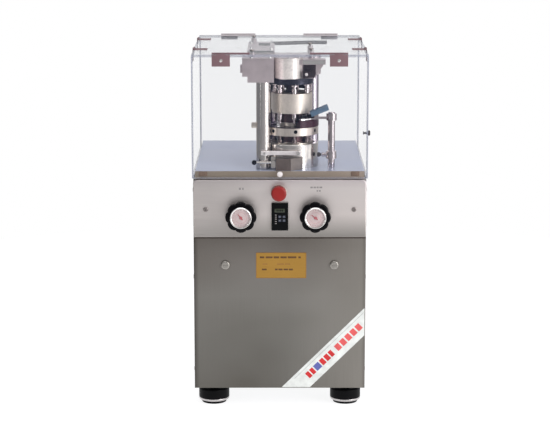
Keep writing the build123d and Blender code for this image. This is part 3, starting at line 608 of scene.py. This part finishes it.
def side_places():
    """Each side's turn about the guard, its distance and half width."""
    x, y, _ = limits("guard_top")
    half_x, half_y = x[1] + 0.8, (y[1] - y[0]) / 2 + 0.8
    side_half = half_y - ACRYLIC - 0.5
    return {"front": (0, half_y, half_x), "right": (90, half_x, side_half),
            "rear": (180, half_y, half_x), "left": (270, half_x, side_half)}


def to_side(shape, angle, distance):
    """Moves a shape built with its outer face at y = 0 onto one side of the guard."""
    return shape.shift(0, GUARD_MIDDLE[1] - distance, 0).turn(GUARD_MIDDLE, angle)


def pane(side, place, bottom, top):
    """One acrylic pane, and the denser look of its cut edges as a thin rim."""
    angle, distance, half = place
    body = f"window_{side}"
    inner_x, inner_z = (-half + EDGE, half - EDGE), (bottom + EDGE, top - EDGE)
    sheet = to_side(Shape().block(inner_x, (0, ACRYLIC), inner_z), angle, distance)
    sheet.finish(f"pane_{side}", "clear", body, "clear_acrylic", stands_for=(body,))
    rim = Shape()
    for z in ((bottom, bottom + EDGE), (top - EDGE, top)):
        rim.block((-half, half), (0, ACRYLIC), z)
    for x in ((-half, -half + EDGE), (half - EDGE, half)):
        rim.block(x, (0, ACRYLIC), inner_z)
    to_side(rim, angle, distance).finish(f"pane_rim_{side}", "clear_edge", body,
                                         "clear_acrylic")


def hinge_tabs(side, place):
    """The two folded tabs that hang the pane, and their screws."""
    angle, distance, _ = place
    outer, length, drop = TABS[side]
    tabs, screws = Shape(), Shape()
    for sign in (-1, 1):
        tab = sorted((sign * (outer - length), sign * outer))
        knuckle = (tab[0] + KNUCKLE_INSET, tab[1] - KNUCKLE_INSET)
        long = knuckle[1] - knuckle[0]
        tabs.block(tab, (-LEAF, 0), (GUARD_TOP - drop, GUARD_TOP - 0.5))
        tabs.block(knuckle, (-LEAF, 0), (GUARD_TOP - 1, HINGE_Z + 2))
        tabs.block(knuckle, (-LEAF, HINGE_IN), (HINGE_Z + 1, HINGE_Z + 2))
        tabs.turned((knuckle[0], HINGE_IN, HINGE_Z),
                    [(0, 0), (PIN_BARREL_R, 0), (PIN_BARREL_R, long), (0, long)],
                    (1, 0, 0), steps=24)
        screws.turned((middle(tab), -LEAF, GUARD_TOP - drop / 2),
                      [(0, -0.4), (4.6, -0.4), (4.4, 0.1), (3.4, 0.45), (1.6, 0.6),
                       (1.4, 0.1), (0, 0.1)], (0, -1, 0), steps=28)
    to_side(tabs, angle, distance).finish(f"hinge_tabs_{side}", "hinge", f"window_{side}",
                                          "hinge_steel", soften=0.2)
    to_side(screws, angle, distance).finish(f"hinge_screws_{side}", "bright", f"window_{side}",
                                            "tool_steel")


def window_knob(side, place, height, reach, finish):
    """A small turned knob that stands out from the middle of a pane."""
    angle, distance, _ = place
    profile = [(0, 0), (5.5, 0), (5.5, 1.2), (3.4, 2.2), (3.4, reach - 9), (6.6, reach - 8),
               (8, reach - 6), (8.2, reach - 3.6), (7.4, reach - 1.4), (5.2, reach - 0.3),
               (0, reach)]
    knob = Shape().turned((0, 0, height), profile, (0, -1, 0), steps=40)
    to_side(knob, angle, distance).finish(f"window_knob_{side}", finish, f"window_{side}",
                                          "black_plastic")


def guard():
    """Four panes with their hinge tabs and knobs, and the cut edges of the top sheet."""
    places = side_places()
    bottom = limits("window_rear")[2][0]
    top = GUARD_TOP - ACRYLIC - 0.6
    for side, place in places.items():
        pane(side, place, bottom, top)
        hinge_tabs(side, place)
    window_knob("front", places["front"], 697, 14, "white")
    window_knob("right", places["right"], 771, 22, "dark_mark")
    x, y, z = limits("guard_top")
    rim = Shape()
    for side_y in ((y[0] - RIM, y[0]), (y[1], y[1] + RIM)):
        rim.block((x[0] - RIM, x[1] + RIM), side_y, z)
    for side_x in ((x[0] - RIM, x[0]), (x[1], x[1] + RIM)):
        rim.block(side_x, y, z)
    rim.finish("guard_top_rim", "clear_edge", "frame", "clear_acrylic")


# ---------------------------------------------------------------- handwheels and dials

LOBES = 8
VALLEY_R = 40.4
LOBE_RISE = 4.7
LOBE_FULLNESS = 0.6
DIAL_R = 31.5
FACE_R = 26.5
TICKS = 20
POINTER_TURNS = {"left": -38, "right": -52}


def lobed_ring(x, y, z, inset, points=144):
    """The wheel's outline at one depth: a circle that swells into lobes."""
    ring = []
    for k in range(points):
        angle = 2 * pi * k / points
        swell = abs(cos(LOBES / 2 * angle)) ** LOBE_FULLNESS
        radius = VALLEY_R + LOBE_RISE * swell - inset
        ring.append((x + radius * sin(angle), y, z + radius * cos(angle)))
    return ring


def handwheel(side):
    """A lobed wheel on its shaft, with a dial under glass let into its front."""
    body = f"handwheel_{side}"
    x_limits, y_limits, z_limits = limits(body)
    x, z = middle(x_limits), middle(z_limits)
    front = y_limits[0]
    wheel = Shape().layers([lobed_ring(x, front + depth, z, inset) for depth, inset in
                            ((25, 4), (24.4, 2.2), (23, 0.8), (21, 0), (14, 0), (11.5, 0.5),
                             (9.6, 1.8), (8.6, 3.6), (8.2, 6))])
    wheel.turned((x, front + 40, z), [(0, 0), (14, 0), (14, 12), (17, 15.5), (0, 15.5)],
                 (0, -1, 0))
    wheel.finish(f"wheel_{side}", "black", body, "black_plastic", stands_for=(body,))
    shaft = Shape().turned((x, front + 87, z), [(0, 0), (8, 0), (8, 50), (0, 50)], (0, -1, 0))
    shaft.finish(f"wheel_shaft_{side}", "tool", body, "tool_steel", soften=0.4)

    bezel = Shape().turned((x, front, z), [
        (FACE_R, 7), (FACE_R, 2.4), (FACE_R + 0.6, 0.9), (FACE_R + 1.8, 0.2), (FACE_R + 3, 0),
        (DIAL_R - 0.9, 0.7), (DIAL_R, 2.4), (DIAL_R, 10), (FACE_R, 10)], (0, 1, 0),
        steps=72, closed=True)
    bezel.finish(f"dial_bezel_{side}", "bright", body, "polished_steel")
    face = Shape().turned((x, front + 6, z), [(0, 0), (FACE_R, 0), (FACE_R, 1), (0, 1)],
                          (0, 1, 0), steps=72)
    face.finish(f"dial_face_{side}", "dial", body, "panel_steel")

    ticks = Shape()
    for k in range(TICKS):
        length = 4.5 if k % 5 == 0 else 2.6
        tick = Shape().block((x - 0.3, x + 0.3), (front + 5.7, front + 6.1),
                             (z + FACE_R - 2 - length, z + FACE_R - 2))
        tick.turn((x, 0, z), k * 360 / TICKS, "Y")
        ticks.take(tick)
    ticks.finish(f"dial_ticks_{side}", "dial_print", body, "red_plastic")
    ring = Shape().turned((x, front + 5.8, z), [(15.6, 0), (16.6, 0), (16.6, 0.3),
                                                (15.6, 0.3)], (0, 1, 0), steps=72, closed=True)
    ring.finish(f"dial_ring_{side}", "dial_faint", body, "red_plastic")
    pointer = Shape().plate([(x - 1.8, z - 8), (x + 1.8, z - 8), (x + 1.0, z + 14),
                             (x - 1.0, z + 14)], (front + 4.6, front + 5.2))
    pointer.turned((x, front + 5.9, z), [(0, 0), (4.6, 0), (4.6, 1.6), (3.2, 2.6), (0, 2.6)],
                   (0, -1, 0), steps=28)
    pointer.turn((x, 0, z), POINTER_TURNS[side], "Y")
    pointer.finish(f"dial_pointer_{side}", "dial_red", body, "red_plastic")
    lens = Shape().turned((x, front + 1.2, z), [(0, -0.4), (FACE_R * 0.6, 0), (FACE_R, 0.8),
                                               (FACE_R, 1.6), (0, 1.6)], (0, 1, 0), steps=72)
    lens.finish(f"dial_lens_{side}", "lens", body, "clear_acrylic")


# ---------------------------------------------------------------- control panel and door

PRINT_DEPTH = (-0.12, 0.1)


def bars(shape, height, tall, spans, y):
    """A row of plain printed bars."""
    for low, high in spans:
        shape.block((low, high), y, (height - tall / 2, height + tall / 2))
    return shape


def panel_fittings():
    """Printed bars, the stop button's collar, a dark strip as painted shadow in the seam under
    the panel, and the guard's seal blocks.
    """
    marks = Shape()
    for height, tall, spans in ((653, 6, ((-118, -112), (-109, -104))),
                                (657, 4.5, ((88, 95), (97, 104), (106, 112), (114, 122))),
                                (647, 4.5, ((106, 110), (112, 118)))):
        bars(marks, height, tall, spans, PRINT_DEPTH)
    marks.finish("panel_marks", "mark", "frame", "panel_steel")

    x, _, z = limits("estop_button")
    collar = Shape().turned((middle(x), 0, middle(z)), [
        (16, 0), (23.4, 0), (23.4, 1.2), (22.6, 2.2), (16, 2.2)], (0, -1, 0), steps=64,
        closed=True)
    collar.finish("stop_collar", "satin", "frame", "panel_steel")

    # painted shadow: a dark strip filling the seam between panel and door
    seam_shadow = Shape().block((-247.5, 247.5), (0.4, 8), (506.4, 511.6))
    seam_shadow.finish("seam_shadow_strip", "gap", "frame", "black_plastic")

    blocks = Shape()
    for x in ((-233, -209), (205, 229)):
        blocks.block(x, (5.4, 7.8), (689, 703))
    blocks.finish("seal_blocks", "pad", "frame", "hinge_steel", soften=0.8)


def keypad_fittings():
    """The display with its blank digits, the legend's bars and a mark on each key."""
    front = limits("keypad_body")[1][0]
    glass = Shape().block((-15.5, 14.5), (front + 0.5, front + 1.4), (585.5, 596.5))
    glass.finish("keypad_display", "display", "frame", "black_plastic", soften=0.3)
    digits = Shape()
    for left in (-9, -4, 1, 6):
        digits.block((left, left + 3), (front + 0.3, front + 0.6), (588, 594))
    digits.finish("display_segments", "keypad", "frame", "black_plastic")
    legend = Shape()
    for height in (552, 558, 565, 571, 577):
        legend.block((-14, -9), (front - 0.1, front + 0.1), (height, height + 2.2))
    legend.finish("keypad_legend", "mark", "frame", "key_plastic")
    for name in ("start", "stop", "down", "up"):
        key_x, key_y, key_z = limits(f"key_{name}")
        key_x, key_z = middle(key_x), middle(key_z)
        mark = Shape().block((key_x - 1.6, key_x + 1.6), (key_y[0] - 0.1, key_y[0] + 0.1),
                             (key_z - 0.6, key_z + 0.6))
        if name in ("start", "up"):
            mark.turn((key_x, 0, key_z), 90, "Y")
        mark.finish(f"key_mark_{name}", "mark", f"key_{name}", "key_plastic")


def nameplate_print():
    """Three rows of plain bars in place of lettering, and a thin border."""
    x, y, z = limits("nameplate")
    depth = (y[0] - 0.15, y[0] + 0.05)
    rows = Shape()
    bars(rows, z[1] - 14, 5.5, ((-58, -45), (-41, -21), (-18, -2), (2, 20), (23, 48),
                                (54, 61)), depth)
    bars(rows, z[0] + 26, 5, ((-52, -38), (-14, -6), (-4, 8), (11, 24), (26, 38)), depth)
    rows.finish("nameplate_bars", "amber_print", "service_door", "amber_plate")
    faint = bars(Shape(), middle(z) + 4, 3.5, ((-50, -36), (-8, 12), (15, 30)), depth)
    for height in (z[0] + 1.2, z[1] - 1.2):
        bars(faint, height, 1.6, ((x[0] + 0.6, x[1] - 0.6),), depth)
    for low in (x[0] + 0.6, x[1] - 2.2):
        faint.block((low, low + 1.6), depth, (z[0] + 2, z[1] - 2))
    faint.finish("nameplate_lines", "amber_faint", "service_door", "amber_plate")


# the band rises from the door's foot to its right-hand edge
DOOR_HALF = 247.4
BAND_FOOT = 59.5
BAND_TOP = 217
BAND_LEFT = 6
BAND_WIDE = 83
BAND_SLOPE = (BAND_TOP - BAND_FOOT) / (DOOR_HALF - BAND_LEFT - BAND_WIDE)
# the coloured blocks of each finish, as spans along the band
BAND_BLOCKS = {"sticker_red": [(48, 60), (64, 76), (104, 118), (122, 136), (140, 152)],
               "sticker_blue": [(80, 100)],
               "sticker_pale": [(166, 182), (187, 203), (208, 224), (229, 245), (250, 266)]}


def diagonal(along, across):
    """A place on the door's diagonal band: along it and across it from its middle."""
    run = (1 + BAND_SLOPE * BAND_SLOPE) ** 0.5
    return (BAND_LEFT + BAND_WIDE / 2 + (along - across * BAND_SLOPE) / run,
            BAND_FOOT + (along * BAND_SLOPE + across) / run)


def strip(shape, along, across):
    """A thin piece of print that lies along the band."""
    shape.plate([diagonal(along[0], across[0]), diagonal(along[1], across[0]),
                 diagonal(along[1], across[1]), diagonal(along[0], across[1])], (-0.4, -0.2))


def door_band():
    """White diagonal film across the door's corner, with plain colour blocks."""
    upper = BAND_FOOT + BAND_SLOPE * (DOOR_HALF - BAND_LEFT)
    film = Shape().plate([(BAND_LEFT, BAND_FOOT), (BAND_LEFT + BAND_WIDE, BAND_FOOT),
                          (DOOR_HALF, BAND_TOP), (DOOR_HALF, upper)], (-0.25, 0.1))
    film.finish("door_band", "sticker", "service_door", "panel_steel")
    for finish, spans in BAND_BLOCKS.items():
        made = Shape()
        for span in spans:
            strip(made, span, (-10, 10))
        made.finish(f"band_{finish}", finish, "service_door", "red_plastic")
    line = Shape()
    strip(line, (16, 300), (20.5, 21.8))
    line.finish("band_line", "sticker_edge", "service_door", "panel_steel")


# ---------------------------------------------------------------- feet, head and turret

FOOT_R = 45
RAIL_TOP = 1022
STAY_PATH = ((-24, 530), (20, 542), (64, 558), (106, 568), (150, 564))
HOUSING = (25.5, 95)
STATIONS = 7
FIRST_STATION = 8
LOCK_SCREW_Z = 812


def foot_rings():
    """Bright pressed lip round the lower part of each rubber cup."""
    x, y, _ = limits("levelling_feet")
    rings = Shape()
    lip = [(41.5, 9), (43.6, 9), (44.6, 10), (FOOT_R, 12), (FOOT_R, 15), (44.2, 16.4),
           (41.5, 16.4)]
    for foot_x in (x[0] + FOOT_R, x[1] - FOOT_R):
        for foot_y in (y[0] + FOOT_R, y[1] - FOOT_R):
            rings.turned((foot_x, foot_y, 0), lip, steps=64, closed=True)
    rings.finish("foot_rings", "ring", "frame", "polished_steel")


def cap_screw(shape, centre, radius, toward=(0, 0, 1)):
    """A socket cap screw's head standing on a face."""
    hole = radius * 0.5
    shape.turned(centre, [(0, 0), (radius, 0), (radius, radius * 0.8), (radius * 0.86, radius),
                          (hole, radius), (hole, radius * 0.4), (0, radius * 0.4)],
                 toward, steps=24)


def head_fittings():
    """Cap screws of the head, dark blocks as painted shade in the rail's slot openings, and the
    bent stay of its rear bar.
    """
    screws = Shape()
    for x in (-87, -25):
        for y in (298, 344, 500, 547):
            cap_screw(screws, (x, y, RAIL_TOP), 4)
    for x, y in ((-82, 44), (-28, 44), (-82, 120)):
        cap_screw(screws, (x, y, 1025), 4.5)
    for angle in range(30, 390, 60):
        across, along = 34 * cos(radians(angle)), 34 * sin(radians(angle))
        cap_screw(screws, (HOUSING[0] + across, HOUSING[1] + along, 1023), 3.2)
    screws.finish("head_screws", "bright", "frame", "tool_steel")

    depth = (RAIL_TOP - 1, RAIL_TOP + 1.8)
    # painted shade: dark blocks standing in the rail's slots
    slots = Shape().block((-64, -30), (440, 500), depth)
    slots.block((-90, -18), (244, 264), depth)
    slots.finish("rail_slot_shade", "screw_black", "frame", "dark_steel", soften=0.4)
    stay = Shape().layers([[(x, y - 9, 1014), (x, y + 9, 1014), (x, y + 9, 1024.5),
                            (x, y - 9, 1024.5)] for x, y in STAY_PATH])
    stay.finish("rear_stay", "stay", "frame", "dark_steel", soften=1.5)


def housing_fittings():
    """Sleeve of the bearing housing painted light cream as a painted sheen, its gusset, arm and
    bolt with a painted white glint on the bolt's tip, and the column's lug.
    """
    # painted sheen: the sleeve a light cream over the housing's cylinder
    sleeve = Shape().turned((*HOUSING, 0), [(41, 963.3), (41.9, 963.3), (41.9, 1022.5),
                                            (41, 1022.5)], steps=96, closed=True)
    sleeve.finish("housing_sleeve", "cream", "frame", "polished_steel")
    cover = Shape().plate([(67, 965), (99, 965), (104, 975), (104, 1003), (67, 1003)],
                          (75.2, 76.4))
    cover.block((66, 88), (62, 76), (966, 985))
    cover.finish("gusset_cover", "gusset", "frame", "dark_steel", soften=1.5)
    # painted glint: the bolt's tip in white plastic
    bolt_tip = Shape().turned((76.8, 62, 976.5), [(0, 0), (4.6, 0), (4.6, 2.4), (3, 3.4),
                                                 (0, 3.4)], (0, -1, 0), steps=28)
    bolt_tip.finish("arm_bolt", "white", "frame", "tool_steel")
    bar = Shape().block((66, 130), (65.4, 66.2), (1005.5, 1016.5))
    bar.finish("arm_face", "bright", "frame", "polished_steel")

    lug = Shape().block((-82, -66), (51, 63), (822, 838))
    lug.finish("column_lug", "satin", "frame", "satin_steel", soften=2.0)


def turret_place():
    """The turret's axis, from the spindle."""
    x, y, _ = limits("spindle")
    return middle(x), middle(y)


def turret_neck_shade():
    """Thin dark rings over the neck and hub between the turret's three discs: painted shade
    between the discs.
    """
    x, y = turret_place()
    neck_shades = Shape()
    for low, high in ((834.3, 861.7), (776.5, 798.7)):
        neck_shades.turned((x, y, 0), [(41.5, low), (42.3, low), (42.3, high), (41.5, high)],
                       steps=72, closed=True)
    neck_shades.finish("turret_neck_shade", "neck", "turret", "dark_steel")


def die_lock_screws():
    """Dark set screws in the rim pockets of the die table, near black as painted shade in the
    pockets.
    """
    x, y = turret_place()
    low, high = limits("die_table")[0]
    rim = (high - low) / 2
    screws = Shape()
    for k in range(STATIONS):
        angle = radians(FIRST_STATION + k * 360 / STATIONS)
        toward = (sin(angle), -cos(angle), 0)
        start = (x + (rim - 8) * toward[0], y + (rim - 8) * toward[1], LOCK_SCREW_Z)
        screws.turned(start, [(0, 0), (5.4, 0), (5.4, 6.4), (4.6, 7), (2.6, 7), (2.6, 3.4),
                              (0, 3.4)], toward, steps=24)
    screws.finish("die_lock_screws", "screw_black", "turret", "dark_steel")


FEED_WALL_R = 79
FEED_BLOCKS_R = 66


def feeder_fittings():
    """Bright strip and black blocks on the feed frame, and the knob of the post's collar."""
    x, y = turret_place()
    top = limits("feed_frame")[2][1] - 8
    edge = Shape().arc((x, y), FEED_WALL_R - 7, FEED_WALL_R + 0.6, 19, 87, top - 0.2, top + 3)
    edge.finish("feed_frame_strip", "bright", "frame", "polished_steel")
    blocks = Shape()
    for angle in (30, 52, 80):
        turn = radians(angle)
        place = (x + FEED_BLOCKS_R * sin(turn), y - FEED_BLOCKS_R * cos(turn))
        block = Shape().block((place[0] - 7, place[0] + 7), (place[1] - 5, place[1] + 5),
                              (top, top + 13))
        block.turn((*place, 0), angle)
        blocks.take(block)
    blocks.finish("feed_frame_blocks", "black", "frame", "black_plastic", soften=1.2)
    post_right = limits("feeder_post")[0][1]
    knob = Shape().turned((post_right - 44, 75, 741), [
        (0, 0), (4, 0), (4, 3), (6.5, 4.5), (6.5, 11), (5, 12.4), (0, 12.4)], (-1, 0, 0),
        steps=28)
    knob.finish("collar_knob", "dark_mark", "frame", "black_plastic")


BALL_R = 7.15


def drum_fittings():
    """Bolts of the scraper bar, a dark plate as painted shade in the chute's mouth, and the ball
    of the clamp lever.
    """
    bolts = Shape()
    cap_screw(bolts, (53, 17.6, 753), 5, (0, -1, 0))
    cap_screw(bolts, (-44, 22.4, 753), 4.2, (0, -1, 0))
    bolts.finish("scraper_bolts", "bright", "frame", "tool_steel")
    # painted shade: a thin dark plate over the chute's open mouth
    face = Shape().block((-11.7, 31.7), (7.6, 8.1), (704.3, 738.7))
    face.finish("chute_mouth_shade", "chute_mouth_shade_paint", "frame", "dark_steel")
    lever_left = limits("clamp_lever")[0][0]
    ball = Shape().turned((lever_left + 7, 28, 725), [
        (BALL_R * sin(radians(angle)), -BALL_R * cos(radians(angle)))
        for angle in range(0, 181, 12)], (1, 0, 0), steps=32)
    ball.finish("lever_ball", "black", "clamp_lever", "black_plastic")


def fittings():
    """Everything that is drawn round the CAD pieces."""
    guard()
    for side in ("left", "right"):
        handwheel(side)
    for draw in (panel_fittings, keypad_fittings, nameplate_print, door_band, foot_rings,
                 head_fittings, housing_fittings, turret_neck_shade, die_lock_screws,
                 feeder_fittings, drum_fittings):
        draw()


# ---------------------------------------------------------------- camera and light

LENS = 115.5
CAMERA_PLACE = (-13.9, -5000, 1566)
CAMERA_PITCH = 78.85
# the sky's brightness at each angle from the front, positive to the right
SKY = [(-180, 1.25), (-150, 0.50), (-110, 0.20), (-40, 0.23), (-15, 0.34), (10, 0.38),
       (28, 0.62), (42, 1.3), (88, 1.3), (104, 0.28), (150, 0.45), (180, 1.25)]
SKY_TINT = (1, 0.985, 0.99)
OVERHEAD = (0.42, 0.42, 0.44)
FLOOR_R = 2.4
FLOOR_CORNERS = 96
PAPER_GLOW = 0.86


def camera():
    """Stands five metres before the cabinet, a little above it, looking slightly down."""
    data = bpy.data.cameras.new("camera")
    data.lens = LENS
    data.sensor_width = 36
    made = bpy.data.objects.new("camera", data)
    made.location = at(*CAMERA_PLACE)
    made.rotation_euler = (radians(CAMERA_PITCH), 0, 0)
    bpy.context.scene.collection.objects.link(made)
    bpy.context.scene.camera = made


def area_light(name, place, target, size, power):
    """A soft box that looks at a target, with its size in metres."""
    data = bpy.data.lights.new(name, "AREA")
    data.shape = "RECTANGLE"
    data.size, data.size_y = size
    data.energy = power
    made = bpy.data.objects.new(name, data)
    made.location = place
    made.rotation_euler = (Vector(target) - Vector(place)).to_track_quat("-Z", "Y").to_euler()
    bpy.context.scene.collection.objects.link(made)


def sky():
    """Surroundings whose brightness changes all the way round, plain white to the camera."""
    world = bpy.data.worlds.new("studio")
    bpy.context.scene.world = world
    world.use_nodes = True
    nodes, links = world.node_tree.nodes, world.node_tree.links
    split = nodes.new("ShaderNodeSeparateXYZ")
    links.new(nodes.new("ShaderNodeTexCoord").outputs["Generated"], split.inputs["Vector"])
    round_about = nodes.new("ShaderNodeMath")
    round_about.operation = "ARCTAN2"
    links.new(split.outputs["X"], round_about.inputs[0])
    forward = nodes.new("ShaderNodeMath")
    forward.operation = "MULTIPLY"
    forward.inputs[1].default_value = -1.0
    links.new(split.outputs["Y"], forward.inputs[0])
    links.new(forward.outputs["Value"], round_about.inputs[1])
    spread = nodes.new("ShaderNodeMapRange")
    spread.inputs["From Min"].default_value = -pi
    spread.inputs["From Max"].default_value = pi
    links.new(round_about.outputs["Value"], spread.inputs["Value"])
    ramp = nodes.new("ShaderNodeValToRGB")
    links.new(spread.outputs["Result"], ramp.inputs["Fac"])
    while len(ramp.color_ramp.elements) < len(SKY):
        ramp.color_ramp.elements.new(0.5)
    for element, (angle, level) in zip(ramp.color_ramp.elements, SKY):
        element.position = 0.5 + angle / 360
        element.color = (*(level * tint for tint in SKY_TINT), 1)
    overhead = nodes.new("ShaderNodeMapRange")
    overhead.inputs["From Min"].default_value = 0.45
    overhead.inputs["From Max"].default_value = 0.85
    links.new(split.outputs["Z"], overhead.inputs["Value"])
    blend = nodes.new("ShaderNodeMix")
    blend.data_type = "RGBA"
    links.new(overhead.outputs["Result"], blend.inputs["Factor"])
    links.new(ramp.outputs["Color"], blend.inputs["A"])
    blend.inputs["B"].default_value = (*OVERHEAD, 1)
    seen = nodes.new("ShaderNodeMix")
    seen.data_type = "RGBA"
    links.new(nodes.new("ShaderNodeLightPath").outputs["Is Camera Ray"], seen.inputs["Factor"])
    links.new(blend.outputs["Result"], seen.inputs["A"])
    seen.inputs["B"].default_value = (1, 1, 1, 1)
    links.new(seen.outputs["Result"], nodes["Background"].inputs["Color"])


def soft_boxes():
    """Three large lamps: one to the right, a narrow one to the left and one overhead."""
    area_light("key_box", at(2500, -1900, 1500), at(0, 200, 800), (0.8, 2.4), 46)
    area_light("left_box", at(-2600, -2300, 1600), at(0, 200, 700), (0.35, 2.2), 9)
    area_light("top_box", at(0, -300, 3600), at(0, 300, 700), (3.0, 3.0), 42)
    bpy.context.scene.view_settings.view_transform = "Standard"


def studio_floor():
    """Pale round floor that fades into the white surroundings."""
    data = bpy.data.meshes.new("studio_floor")
    turns = [2 * pi * k / FLOOR_CORNERS for k in range(FLOOR_CORNERS)]
    points = [(FLOOR_R * cos(turn), FLOOR_R * sin(turn), 0) for turn in turns]
    data.from_pydata(points, [], [tuple(range(FLOOR_CORNERS))])
    paper = Finish("studio_paper", (150, 150, 152), roughness=0.9)
    paper.mottle(paper.noise(400, detail=2.0), 0.01)
    paper.put("Emission Color", (1, 1, 1, 1))
    paper.put("Emission Strength", PAPER_GLOW)
    data.materials.append(paper.material)
    made = bpy.data.objects.new("studio_floor", data)
    bpy.context.scene.collection.objects.link(made)


dress_frame()
fittings()
camera()
sky()
soft_boxes()
studio_floor()
